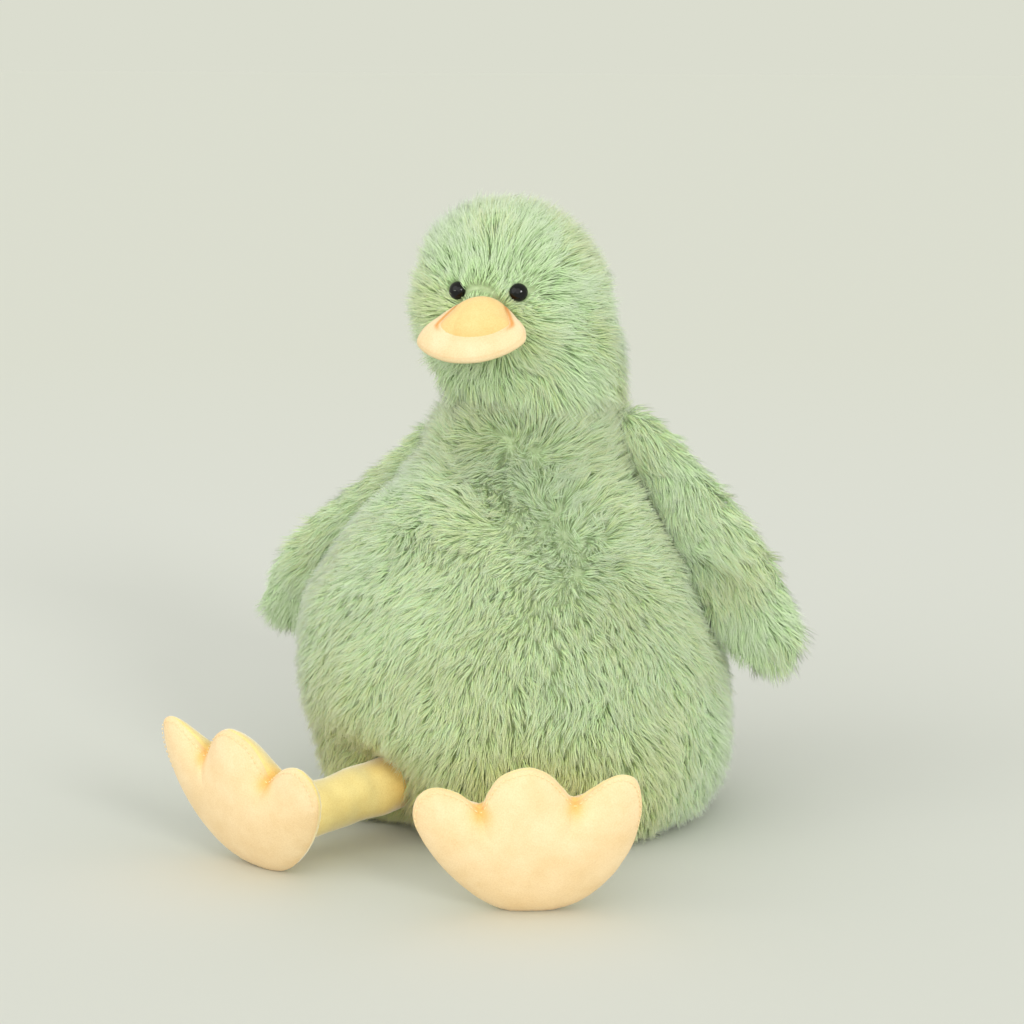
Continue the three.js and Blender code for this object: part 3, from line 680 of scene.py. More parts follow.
# Height, 0 to 1, of a pillow over the outline: the membrane equation solved on a square grid, where
# points whose ray crosses the outline an odd number of times lie within
def membrane(outline):
    low = outline.min(0) - 2 * foot["cell"]
    shape = np.ceil((outline.max(0) - low) / foot["cell"]).astype(int) + 3
    gx, gz = low[:, None, None, None] + np.indices(shape)[..., None] * foot["cell"]
    (ax, az), (bx, bz) = outline.T, np.roll(outline, -1, 0).T
    rise = np.where(np.abs(bz - az) < 1e-9, 1e-9, bz - az)
    crossed = ((az > gz) != (bz > gz)) & (gx < (bx - ax) * (gz - az) / rise + ax)
    within = crossed.sum(-1) % 2
    high = np.zeros(within.shape)
    for _ in range(foot["rounds"]):
        beside = high[2:, 1:-1] + high[:-2, 1:-1] + high[1:-1, 2:] + high[1:-1, :-2]
        high[1:-1, 1:-1] = within[1:-1, 1:-1] * (beside / 4 + 1)
    return high / high.max(), low


# Value of a square grid at points between its nodes
def lookUp(values, low, flat):
    place = (flat - low) / foot["cell"]
    i, j = np.moveaxis(place.astype(int), -1, 0)
    u, v = np.moveaxis(place, -1, 0) - (i, j)
    return (values[i, j] * (1 - u) * (1 - v) + values[i + 1, j] * u * (1 - v)
            + values[i, j + 1] * (1 - u) * v + values[i + 1, j + 1] * u * v)


# A panel in the foot's own frame, rows running from its middle out, and its painted shade along the seam and
# round the notches
def footPanel(bulge):
    middle = np.array([0, foot["tall"] * foot["middleShare"]])
    share = np.sin(np.linspace(0, math.pi / 2, foot["rows"]))[:, None, None]
    flat = middle + (footOutline - middle) * share
    high = lookUp(*footPillow, flat)
    high[-1] = 0
    for _ in range(foot["smoothings"]):  # each height goes halfway to the mean of its neighbours
        around = high[2:] + high[:-2] + np.roll(high, 1, 1)[1:-1] + np.roll(high, -1, 1)[1:-1]
        high[1:-1] = high[1:-1] * 0.5 + around * 0.125
    edge = lengthOf(flat - footOutline)
    tall = np.maximum(high, 0) ** foot["edgePower"] * bulge
    turn, (many, some, few) = fullTurn(foot["columns"]), foot["puckerTurns"]
    ripple = np.sin(turn * many + 2 * np.sin(turn * some)) * np.sin(turn * few + 1)
    tall += ripple * foot["pucker"] * np.exp(-edge / foot["puckerFade"]) * ease(edge, 0, foot["puckerFrom"])
    # painted warm shade along the seam and round each notch
    glow = foot["seamShade"] * bell(edge, foot["seamGlow"])
    for start, end in zip(notches, creaseEnds):
        away, t = fromSegment(flat, start, end)
        groove = bell(lengthOf(away), foot["creaseWide"]) * (1 - t)
        tall -= foot["creaseDeep"] * groove * ease(edge, 0, foot["creaseFrom"])
        nearNotch = bell(lengthOf(flat - start), foot["notchGlow"])
        glow = np.maximum(glow, foot["notchShade"] * nearNotch)
    return np.stack([flat[..., 0], np.maximum(tall, 0), flat[..., 1]], -1), {"creaseShade": glow}


def footFrame(name, s):
    towards = turning("Z", s * foot["legAngle"])
    turned = (towards @ turning("Z", -s * foot["turn"][name]) @ turning("X", foot["lean"])
              @ turning("Y", s * foot["roll"][name]))
    heel = jointPlace[f"foot_{name}_flex"] - towards[:, 1] * foot["heelAhead"]
    heel += cameraRight * foot["aside"][name]
    heel[2] = foot["sink"]
    return turned, heel


stitch = {
    "long": 1.7, "wide": 0.28, "tall": 0.2, "apart": 2.6, "inset": 1.9, "insetRow": -6, "proud": 0.95,
    "clearFloor": 42, "step": 0.5, "rows": 5, "around": 6,
}


# Stitches beside the seam: places evenly along the sole's outline, moved in from it, each with a grain
# of thread that lies along the outline. Those below clearFloor are left off.
def sewStitches(name, sole, facing):
    inner = sole[-1] + unit(sole[stitch["insetRow"]] - sole[-1]) * stitch["inset"]
    loop = np.concatenate([inner, inner[:1]])
    far = distanceAlong(loop)
    places = np.arange(0, far[-1], stitch["apart"])
    centres, ahead = (np.stack([np.interp(places + step, far, loop[:, k]) for k in range(3)], -1)
                      for step in (0, stitch["step"]))
    clear = centres[:, 2] > stitch["clearFloor"]
    centres, along = centres[clear], unit(ahead - centres)[clear]
    above = unit(facing - dot(along, facing) * along)
    frames = np.stack([along, np.cross(above, along), above], 1)
    theta, turn = np.linspace(0, math.pi, stitch["rows"])[:, None], fullTurn(stitch["around"])
    grain = np.stack([np.repeat(np.cos(theta), turn.size, 1), np.sin(theta) * np.cos(turn),
                      np.sin(theta) * np.sin(turn)], -1)
    grain, faces = skinOf(grain * [stitch["long"] / 2, stitch["wide"], stitch["tall"]])
    points = (centres + above * stitch["proud"])[:, None] + grain @ frames
    first = (np.arange(len(centres)) * len(grain))[:, None, None]
    stitches = makeObject("foot_stitches_" + name, points.reshape(-1, 3),
                          [(f + first).reshape(-1, f.shape[1]) for f in faces])
    finishPiece(stitches, "seamThread", "foot_" + name)


footPillow = membrane(footOutline)


def makePanel(name, side, bulge, material, replaced):
    turned, heel = footFrame(side, sides[side])
    local, marks = footPanel(abs(bulge))
    points = (local * [sides[side], math.copysign(1, bulge), 1]) @ turned.T + heel
    points[..., 2] = np.maximum(points[..., 2], foot["floor"])
    piece = makeSurface(name + side, points, marks, openEnd=True)
    finishPiece(piece, material, "foot_" + side, [n + side for n in replaced])
    return points


for name in sides:
    finishPiece(makeSurface("leg_" + name, *legGrid(name)), "yellowVelour", "leg_" + name,
                ["leg_cover_" + name, "leg_fill_" + name])
    sole = makePanel("foot_sole_", name, -foot["soleBulge"], "soleVelour",
                     ["sole_", "foot_fill_"])
    makePanel("foot_back_", name, foot["backBulge"], "yellowVelour", ["foot_upper_"])
    sewStitches(name, sole, -footFrame(name, sides[name])[0][:, 1])
print("legs and feet made")


# Base panel: the round cloth under the seat. Half its thickness goes with the root of 1 - share ^ rimPower,
# and its upper side is puffed by 1 - share squared.
base = {"radius": 61, "thick": 3, "puff": 0.8, "rimPower": 12, "columns": 96, "halfRows": 20}
share = np.linspace(0, 1, base["halfRows"])
rim = base["thick"] / 2 * np.sqrt(1 - share ** base["rimPower"])
upper = base["thick"] / 2 + rim + base["puff"] * (1 - share**2)
high = np.concatenate([base["thick"] / 2 - rim, upper[::-1]])
reach = np.concatenate([share, share[::-1]])[:, None] * base["radius"]
finishPiece(makeSurface("base_panel_cloth", roundAxis(reach, high, base["columns"])), "furBacking", "body",
            ["base_panel"])


# Fur

hashing = {"cells": np.array([73856093, 19349663, 83492791]), "seed": 2654435761, "add": 12345,
           "salts": (1103515245, 22695477, 1664525), "mask": 0x7FFFFFFF}


# A number for each root, that of the nearest tuft. Each cell of a cubic lattice has one tuft, at a place
# that is scrambled from the cell's key.
def tuftNumbers(points, cell, seed):
    corner = np.floor(points / cell).astype(np.int64)
    best = np.full(len(points), np.inf)
    chosen = np.zeros(len(points), np.int64)
    for step in np.indices((3, 3, 3)).reshape(3, -1).T - 1:
        at = corner + step
        key = np.bitwise_xor.reduce(at * hashing["cells"], axis=1) ^ (seed * hashing["seed"])
        mixed = (key ^ (key >> 13)) & hashing["mask"]
        places = []
        for salt in hashing["salts"]:
            mixed = (mixed * salt + hashing["add"]) & hashing["mask"]
            places.append(((mixed >> 8) & 0xFFFF) / 65536)
        away = ((points - (at + np.stack(places, -1)) * cell) ** 2).sum(-1)
        closer = away < best
        best, chosen = np.where(closer, away, best), np.where(closer, key, chosen)
    return np.unique(chosen, return_inverse=True)[1]


# Mean of the rows that share a number, given back to each row
def shared(values, numbers):
    count = np.bincount(numbers)
    return np.stack([np.bincount(numbers, column) / count for column in values.T], -1)[numbers]


# Roots spread evenly over a wrapped grid's area, each with its normal
def spreadRoots(grid, normals, count, own):
    beside = np.roll(grid, -1, 1)
    area = lengthOf(np.cross(grid[1:] - beside[:-1], beside[1:] - grid[:-1])) / 2
    total = np.concatenate([[0], np.cumsum(area.ravel())])
    places = (np.arange(count) + own.random(count)) / count * total[-1]
    pick = np.searchsorted(total, places, side="right") - 1
    row, column = np.divmod(np.clip(pick, 0, area.size - 1), grid.shape[1])
    after = (column + 1) % grid.shape[1]
    u, v = own.random((2, count, 1))
    roots, normal = ((values[row, column] * (1 - u) + values[row, after] * u) * (1 - v)
                     + (values[row + 1, column] * (1 - u) + values[row + 1, after] * u) * v
                     for values in (grid, normals))
    return roots, unit(normal)


# What all the fur shares. Lucks are how far a strand's tuft, its lock of tufts and its own chance move it.
pile = {
    "thick": 0.19, "thickShares": (0.75, 1.25), "bendAt": 0.42, "lock": 7, "nickFrom": 1.15, "nickLong": 0.68,
    "rootLiftLuck": (5, 4), "rootLiftSpan": (15, 88), "tipLiftLuck": (10, 5, 6), "tipLiftSpan": (-20, 85),
    "longLuck": 0.07, "longSpan": (0.6, 1.16), "toneLuck": (0.5, 0.35, 0.6), "toneShares": (0.06, 0.88),
    "mapWide": 0.008, "mapHigh": (0.02, 0.42, 0.98), "tubeClear": (0.3, 1.6), "floorClear": (0.2, 1.2),
    "ownShare": 0.3, "rough": 0.12, "roundShare": 0.36, "behindRound": 0.7, "behindFade": (-0.05, 0.35),
    "underRound": 0.85, "underFade": (-0.2, 0.6), "tipFacing": (1.5, 0.5), "aside": (0.31, 0.42, 0.85),
}


# Strands are spindles of five points: a root, a ring of three and a tip. The ring bends the strand,
# and tufts draw their rings and tips together. A strand shades by the skin's normal, turned square to
# the strand by ownShare.
def growFur(roots, normals, flow, length, rootLift, tipLift, settings, own):
    flow = unit(flow - dot(flow, normals) * normals)
    small = tuftNumbers(roots, settings["tuft"], settings["seed"])
    large = tuftNumbers(roots, pile["lock"], settings["seed"] + 1)
    tuft, lock = (own.normal(size=(numbers.max() + 1, 4))[numbers] for numbers in (small, large))
    luck = own.normal(size=(len(roots), 4))
    swing = np.radians(settings["tuftSwing"] * tuft[:, :1] + settings["lockSwing"] * lock[:, :1]
                       + settings["strandSwing"] * luck[:, :1])
    flow = flow * np.cos(swing) + np.cross(normals, flow) * np.sin(swing)
    byTuft, byLuck = pile["rootLiftLuck"]
    rootLift = rootLift + byTuft * tuft[:, 1] + byLuck * luck[:, 1]
    byTuft, byLock, byLuck = pile["tipLiftLuck"]
    tipLift = tipLift + byTuft * tuft[:, 2] + byLock * lock[:, 2] + byLuck * luck[:, 2]
    nick = tuft[:, 3] > pile["nickFrom"]  # short tufts with painted shade, that show as gaps
    length = length * np.clip(1 + pile["longLuck"] * (tuft[:, 3] + luck[:, 3]), *pile["longSpan"])
    long = (length * np.where(nick, pile["nickLong"], 1))[:, None]
    places = [roots]
    for share, lift, span in ((pile["bendAt"], rootLift, pile["rootLiftSpan"]),
                              (1 - pile["bendAt"], tipLift, pile["tipLiftSpan"])):
        angle = np.radians(np.clip(lift, *span))[:, None]
        places.append(places[-1] + long * share * (flow * np.cos(angle) + normals * np.sin(angle)))
    _, middle, tip = places
    middle = middle + (shared(middle, small) - middle) * settings["tuftDrawMiddle"]
    tip = tip + (shared(tip, small) - tip) * settings["tuftDrawTip"]
    tip += (shared(tip, large) - tip) * settings["lockDraw"]
    byTuft, byLock, byLuck = pile["toneLuck"]
    shade = settings["toneSpread"] * (byTuft * tuft[:, 0] + byLock * lock[:, 3] + byLuck * luck[:, 0])
    way = unit(tip - roots)
    facing = unit(normals - pile["ownShare"] * dot(normals, way) * way + pile["rough"] * luck[:, 1:4])
    # the short tufts get painted shade
    return middle, tip, shade - settings["nickPaintedShade"] * nick, facing


# One fur piece with its strand map, in which each strand holds one narrow upright strip, and its shading
# normals: facing at the root, rounder on the ring, most on its side away from facing, and part along the tip
def writeFur(name, bodyName, own, roots, middle, tip, tone, tint, facing, roundness):
    count = len(roots)
    way = unit(tip - roots)
    side = unit(np.cross(way, pile["aside"]) + 1e-6)
    turn = (own.uniform(0, 2 * math.pi, (count, 1)) + np.array([0, 2, 4]) * math.pi / 3)[..., None]
    outwards = np.cos(turn) * side[:, None] + np.sin(turn) * np.cross(way, side)[:, None]
    ring = middle[:, None] + pile["thick"] * own.uniform(*pile["thickShares"], (count, 1, 1)) * outwards
    points = np.concatenate([roots[:, None], ring, tip[:, None]], 1).reshape(-1, 3)
    pattern = np.array([[1, 2, 4], [2, 3, 4], [3, 1, 4], [2, 1, 0], [3, 2, 0], [1, 3, 0]])
    faces = (pattern + (np.arange(count) * 5)[:, None, None]).reshape(-1, 3)
    band = np.clip(np.floor(tint * (fur["bands"] - 1) + own.random(count)), 0, fur["bands"] - 1)
    least, spread = pile["toneShares"]
    wide, (low, bend, high) = pile["mapWide"], pile["mapHigh"]
    ringEnds = [[-wide, bend], [wide, bend]]
    places = np.repeat(np.array((ringEnds + [[0, high]]) * 3 + (ringEnds + [[0, low]]) * 3)[None], count, 0)
    places[..., 0] += ((band + least + spread * np.clip(tone, 0, 1)) / fur["bands"])[:, None]
    facing, roundness = facing[:, None], roundness[:, None, None]
    under = ease(-dot(outwards, facing), *pile["underFade"])
    ownRound = roundness + (pile["underRound"] - roundness) * under
    rounded = unit(facing * (1 - ownRound) + outwards * ownRound)
    byFacing, byWay = pile["tipFacing"]
    tipFacing = unit(byFacing * (1 - roundness) * facing + byWay * way[:, None])
    piece = makeObject(name, points, [faces], maps={"strand": places, "OFBake": places},
                       vectors={"custom_normal": np.concatenate([facing, rounded, tipFacing], 1)})
    finishPiece(piece, "sageFur", bodyName)
    print(name, "strands", count)


# Strands as several pieces, one for each number in parts
def writeParts(name, bodyName, seed, parts, *strands):
    for k in range(parts.max() + 1):
        own = np.random.default_rng(seed + k)
        writeFur(f"{name}_{k + 1}", bodyName, own, *(values[parts == k] for values in strands))


# Points inside a round-ended tube are moved out to its surface
def outOfTube(points, start, end, radius, own):
    away, _ = fromSegment(points, start, end)
    far = lengthOf(away)[:, None]
    target = radius + own.uniform(*pile["tubeClear"], far.shape)
    return np.where(far < target, points - away + unit(away) * target, points)


def aboveFloor(points, own):
    points[:, 2] = np.maximum(points[:, 2], own.uniform(*pile["floorClear"], len(points)))
    return points


# Strands that face away from the photograph's view are seen end-on over the crown, so they shade rounder
def roundBehind(normal):
    behind = ease(normal @ cameraAhead, *pile["behindFade"])
    return pile["roundShare"] + (pile["behindRound"] - pile["roundShare"]) * behind


# In the three dictionaries of fur, Waves and Drift hold a slow noise's size, seed and depth; Lift is how many
# degrees more roots, tips or both rise.

# Body pile: combed away from a place on the chest, and down. It is thick and upright at the chest, stands
# up round the neck, fills the corners above the wings and hangs over the tops of the legs.
bodyFur = {
    "roots": 215481, "seed": 11, "sectors": 8, "length": 13, "rootLift": 54, "tipLift": 25, "tuft": 1.8,
    "tuftSwing": 11, "lockSwing": 13, "strandSwing": 9, "tuftDrawMiddle": 0.12, "tuftDrawTip": 0.28,
    "lockDraw": 0.04, "toneSpread": 0.08, "nickPaintedShade": 0.42,
    "low": 1.6, "top": 204, "legHole": 10.5, "legHoleTo": -30,
    "chestFrom": (11, -49, 188), "chestTo": (60, -58, 140), "chestRadius": 24,
    "downFade": (85, 160), "skirt": (4, 22), "collar": (158, 176), "collarFront": (-20, 20),
    "shoulderUp": 14, "shoulderOver": 5, "shoulderRadius": 22,
    "legOver": 7, "legOverWide": 8, "legOverUp": (-4, 8), "legOverFrom": (-40, -20),
    "leftPale": (0, 90), "leftTint": (10, 70), "rightPale": (55, 92), "paleLow": (80, 140),
    "paleHigh": (50, 110), "oliveLow": (14, 70), "oliveFront": (20, 80),
    "ownSeed": 101, "partSeed": 200, "chestComb": 0.62, "chestLess": 0.45, "chestRough": 0.5,
    "downLess": 0.9, "skirtComb": 0.9, "legComb": 0.9, "legInwards": 0.5,
    "combDrift": (46, 21, 0.24), "chestDrift": (13, 24), "lengthWaves": (30, 31, 0.05),
    "tipWaves": (40, 32, 5),
    "chestShort": 0.2, "collarLong": 0.15, "chestLift": (4, 10), "collarLift": (8, 20), "shoulderLift": 22,
    "legLift": -14, "tone": 0.87, "toneWaves": (35, 33, 0.03), "leftPaintedLight": 0.1, "rimPaintedLight": 0.13,
    "chestPaintedShade": 0.42, "collarPaintedShade": 0.2, "tint": 0.2, "tintWaves": (50, 34, 0.05), "olive": 0.8,
    "chestMint": 0.1, "paintedLightMint": 0.14,
}


def growBody():
    at, own = bodyFur, np.random.default_rng(bodyFur["ownSeed"])
    roots, normal = spreadRoots(bodySkinGrid, gridNormals(bodySkinGrid), at["roots"], own)
    legs = [legLine(name) for name in sides]
    keep = (roots[:, 2] < at["top"]) & (roots[:, 2] > at["low"])
    for hip, _, way in legs:
        far = (roots - hip) @ way
        aside = roots - hip - far[:, None] * way
        keep &= (lengthOf(aside) > at["legHole"]) | (far < at["legHoleTo"])
    roots, normal = roots[keep], normal[keep]
    high, front, toLeft = roots[:, 2], -roots[:, 1], -(roots @ cameraRight)
    away, _ = fromSegment(roots, np.array(at["chestFrom"], float), np.array(at["chestTo"], float))
    upright = bell(lengthOf(away), at["chestRadius"])
    collar = ease(high, *at["collar"])
    down = (1 - at["downLess"] * ease(high, *at["downFade"]))[:, None]
    flow = at["chestComb"] * unit(away - dot(away, normal) * normal) + np.array([0, 0, -1.0]) * down
    flow += drift(roots, *at["combDrift"])
    flow += unit(roots * [1, 1, 0]) * (at["skirtComb"] * (1 - ease(high, *at["skirt"])))[:, None]
    rough = (at["chestRough"] * upright)[:, None] * drift(roots, *at["chestDrift"])
    flow = flow * (1 - at["chestLess"] * upright[:, None]) + rough
    length = at["length"] * (1 - at["chestShort"] * upright + at["collarLong"] * collar)
    length = length * (1 + waves(roots, *at["lengthWaves"]))
    rootLift, tipLift = (at[key] + at["chestLift"][k] * upright + at["collarLift"][k] * collar
                         for k, key in enumerate(("rootLift", "tipLift")))
    tipLift = tipLift + waves(roots, *at["tipWaves"])
    for name in sides:
        corner = jointPlace[f"wing_{name}_lift"] + [0, 0, at["shoulderUp"]]
        near = bell(lengthOf(roots - corner), at["shoulderRadius"])
        length, tipLift = length + at["shoulderOver"] * near, tipLift + at["shoulderLift"] * near
    for hip, _, way in legs:
        far = (roots - hip) @ way
        aside = roots - hip - far[:, None] * way
        clear = np.maximum(lengthOf(aside) - leg["hipRadius"], 0)
        over = bell(clear, at["legOverWide"]) * ease(aside[:, 2], *at["legOverUp"])
        over *= ease(far, *at["legOverFrom"])
        flow += (at["legComb"] * over)[:, None] * (way - unit(aside) * at["legInwards"])
        length, tipLift = length + at["legOver"] * over, tipLift + at["legLift"] * over
    middle, tip, shade, facing = growFur(roots, normal, flow, length, rootLift, tipLift, at, own)
    for hip, ankle, _ in legs:
        middle = outOfTube(middle, hip, ankle, leg["hipRadius"], own)
        tip = outOfTube(tip, hip, ankle, leg["hipRadius"], own)
    middle, tip = aboveFloor(middle, own), aboveFloor(tip, own)
    right = ease(-toLeft, *at["rightPale"])
    tone = at["tone"] + shade + waves(roots, *at["toneWaves"])
    # painted light: the left flank and, low down, the right rim are made paler, as if lit more
    tone = tone + at["leftPaintedLight"] * ease(toLeft, *at["leftPale"])
    tone += at["rimPaintedLight"] * right * (1 - ease(high, *at["paleLow"]))
    # painted shade: darker on the upright chest pile seen end-on, and on the collar's front under the head
    tone -= at["chestPaintedShade"] * upright + at["collarPaintedShade"] * collar * ease(front, *at["collarFront"])
    olive = at["olive"] * (1 - ease(high, *at["oliveLow"])) * ease(front, *at["oliveFront"])
    # painted light: the same left flank and right rim are also tinted paler mint
    paintedLit = np.maximum(ease(toLeft, *at["leftTint"]) * ease(high, *at["paleHigh"]), right)
    tint = at["tint"] + olive - at["chestMint"] * upright - at["paintedLightMint"] * paintedLit
    tint = np.clip(tint + waves(roots, *at["tintWaves"]), 0, 1)
    turn = np.degrees(np.arctan2(roots[:, 0], front)) + 180
    writeParts("body_fur", "body", at["partSeed"], np.floor(turn / 360 * at["sectors"]).astype(int),
               roots, middle, tip, tone, tint, facing, roundBehind(normal))


# Head pile: combed away from the bill, parted above it, short by the eyes and the bill. Behind and low
# down it hangs, and the strands nearest to the bill lean over its upper edge.
headFur = {
    "roots": 57999, "seed": 31, "length": 16.5, "rootLift": 45, "tipLift": 15, "tuft": 2.0,
    "tuftSwing": 9, "lockSwing": 10, "strandSwing": 8, "tuftDrawMiddle": 0.08, "tuftDrawTip": 0.15,
    "lockDraw": 0.03, "toneSpread": 0.035, "nickPaintedShade": 0.1,
    "centre": (-2, -44, 243), "bottom": 190, "behind": (-12, 34), "low": (205, 228), "crown": (250, 280),
    "partingWide": 4, "partingUp": (258, 272), "partingFront": (4, 22), "parting": 0.14,
    "billClear": 0.8, "billUnder": -6, "billSpread": 20, "billMiddle": 3, "billHalf": 6,
    "billShort": 0.6, "billShortTo": 10, "billOver": 3,
    "eyeHole": 4, "eyeShort": {"left": 0.3, "right": 0.42}, "eyeShortTo": (5, 15),
    "eyePush": {"left": 0.8, "right": 0.2}, "eyePushWide": 6, "chinUp": (0, -0.3, 0.9), "chinShare": 0.45,
    "ownSeed": 102, "partSeed": 300, "behindLess": 0.75, "down": (0.12, 0.9, 0.6), "billTurn": 1.6,
    "combDrift": (34, 41, 0.2), "lengthWaves": (24, 44, 0.05), "tipWaves": (30, 45, 5), "billOverShort": 0.35,
    "lowLong": 0.25, "lowLift": 8, "crownLift": 5, "shortLift": 6, "tone": 0.88, "toneWaves": (28, 46, 0.025),
    "lowPaintedLight": 0.14, "eyeDark": 0.04, "tint": 0.05, "tintWaves": (40, 47, 0.1), "lowOlive": 0.15,
}


def growHead():
    at, own = headFur, np.random.default_rng(headFur["ownSeed"])
    plate, dome = bill["plate"], bill["dome"]
    roots, normal = spreadRoots(headSkinGrid, headNormals, at["roots"], own)
    billShare, billHigh = padShare(roots, plate)
    domeShare, _ = padShare(roots, dome)
    domeTop = np.where(domeShare < 1, padHigh(domeShare, dome, dome["top"]), 0)
    over = np.maximum(padHigh(billShare, plate, plate["top"]), domeTop) + at["billClear"]
    keep = (roots[:, 2] > at["bottom"]) & ((billShare > 1) | (billHigh > over) | (billHigh < at["billUnder"]))
    for floor in eyeFloors.values():
        keep &= lengthOf(roots - floor) > at["eyeHole"]
    roots, normal, billShare, billHigh = (values[keep] for values in (roots, normal, billShare, billHigh))
    out = roots - np.array(at["centre"], float)
    radial = unit(out - dot(out, normal) * normal)
    behind, low = ease(roots[:, 1], *at["behind"]), 1 - ease(roots[:, 2], *at["low"])
    flow = radial * (1 - at["behindLess"] * behind)[:, None]
    always, byBehind, byLow = at["down"]
    flow += np.array([0, 0, -1.0]) * (always + byBehind * behind + byLow * low)[:, None]
    fromMiddle = (roots @ headTurned)[:, 0] + head["aside"]
    parting = bell(fromMiddle, at["partingWide"]) * ease(roots[:, 2], *at["partingUp"])
    parting *= ease(-roots[:, 1], *at["partingFront"]) * np.sign(fromMiddle)
    flow += parting[:, None] * headTurned[:, 0] * at["parting"]
    flow += drift(roots, *at["combDrift"])
    fromBill = np.hypot((np.maximum(billShare, 1) - 1) * at["billSpread"],
                        np.maximum(np.abs(billHigh - at["billMiddle"]) - at["billHalf"], 0))
    short = at["billShort"] + (1 - at["billShort"]) * ease(fromBill, 0, at["billShortTo"])
    nearEye = np.ones(len(roots))
    for name, floor in eyeFloors.items():
        away, least = roots - floor, at["eyeShort"][name]
        distance = lengthOf(away)
        nearEye = np.minimum(nearEye, least + (1 - least) * ease(distance, *at["eyeShortTo"]))
        flow += unit(away) * bell(distance, at["eyePushWide"])[:, None] * at["eyePush"][name]
    overBill = bell(fromBill, at["billOver"]) * ease(billHigh, 0, at["billOver"])
    flow *= (1 - at["billTurn"] * overBill)[:, None]
    short = np.minimum(short * (1 - at["billOverShort"] * overBill), nearEye)
    length = at["length"] * short * (1 + waves(roots, *at["lengthWaves"]) + at["lowLong"] * low)
    tipLift = at["tipLift"] + waves(roots, *at["tipWaves"]) + at["lowLift"] * low
    tipLift = tipLift + at["crownLift"] * ease(roots[:, 2], *at["crown"])
    rootLift = at["rootLift"] + at["shortLift"] * (1 - short)
    middle, tip, shade, facing = growFur(roots, normal, flow, length, rootLift, tipLift, at, own)
    # painted light: the pile low on the head, shaded by the bill and chin, is made paler
    tone = at["tone"] + shade + waves(roots, *at["toneWaves"]) + at["lowPaintedLight"] * low
    tone = tone - at["eyeDark"] * (1 - nearEye)
    tint = np.clip(at["tint"] + waves(roots, *at["tintWaves"]) + at["lowOlive"] * low, 0, 1)
    chin = low * (1 - behind)  # the chin's pile shades as if it faced up a little
    facing = unit(facing + (at["chinShare"] * chin)[:, None] * at["chinUp"])
    writeParts("head_fur", "head", at["partSeed"], (roots[:, 0] > 0).astype(int),
               roots, middle, tip, tone, tint, facing, roundBehind(normal))


# Wing pile: combed to the tip and out to the edges, parted from the inner edge to the middle of the front,
# and short where the wing lies against the body, with painted shade there and along the inner edge
wingFur = {
    "roots": 19280, "seed": 51, "length": 15, "rootLift": 50, "tipLift": 18, "tuft": 2.0,
    "tuftSwing": 10, "lockSwing": 12, "strandSwing": 8, "tuftDrawMiddle": 0.12, "tuftDrawTip": 0.24,
    "lockDraw": 0.03, "toneSpread": 0.07, "nickPaintedShade": 0.35, "behind": (-2, 3),
    "partingStart": (0.9, 0.27), "partingSlope": 3, "partingWide": 0.2, "partingLine": 0.07,
    "partingShares": (0.2, 0.3, 0.55, 0.7), "gapWide": (-2, 9), "gapShares": (0.25, 0.45), "gapShort": 0.5,
    "innerShares": (0.45, 0.9), "innerFrom": (0.15, 0.3), "rimShares": (0.35, 0.75), "tipShares": (0.8, 0.95),
    "edgeRound": 0.78, "ownSeed": 103, "asideComb": 0.75, "asideLess": 0.6, "sag": -0.25, "partingComb": 0.5,
    "combDrift": (40, 61, 0.25), "lengthWaves": (26, 64, 0.06), "tipWaves": (30, 65, 6),
    "rootLong": 0.85, "middleLong": 0.15, "middleShares": (0, 0.4), "tipLong": 0.08,
    "tipLongShares": (0.78, 1),
    "tone": 0.86, "toneWaves": (30, 66, 0.025), "tipPaler": 0.05, "tipPaleShares": (0.6, 0.9),
    "partingDark": 0.1, "lineDark": 0.3, "edgePaintedShade": 0.35, "gapPaintedShade": 0.8,
    "tint": 0.12, "tintWaves": (40, 67, 0.06), "tipMint": 0.1, "tipMintShares": (0.5, 0.8), "rimTurn": 0.9,
}


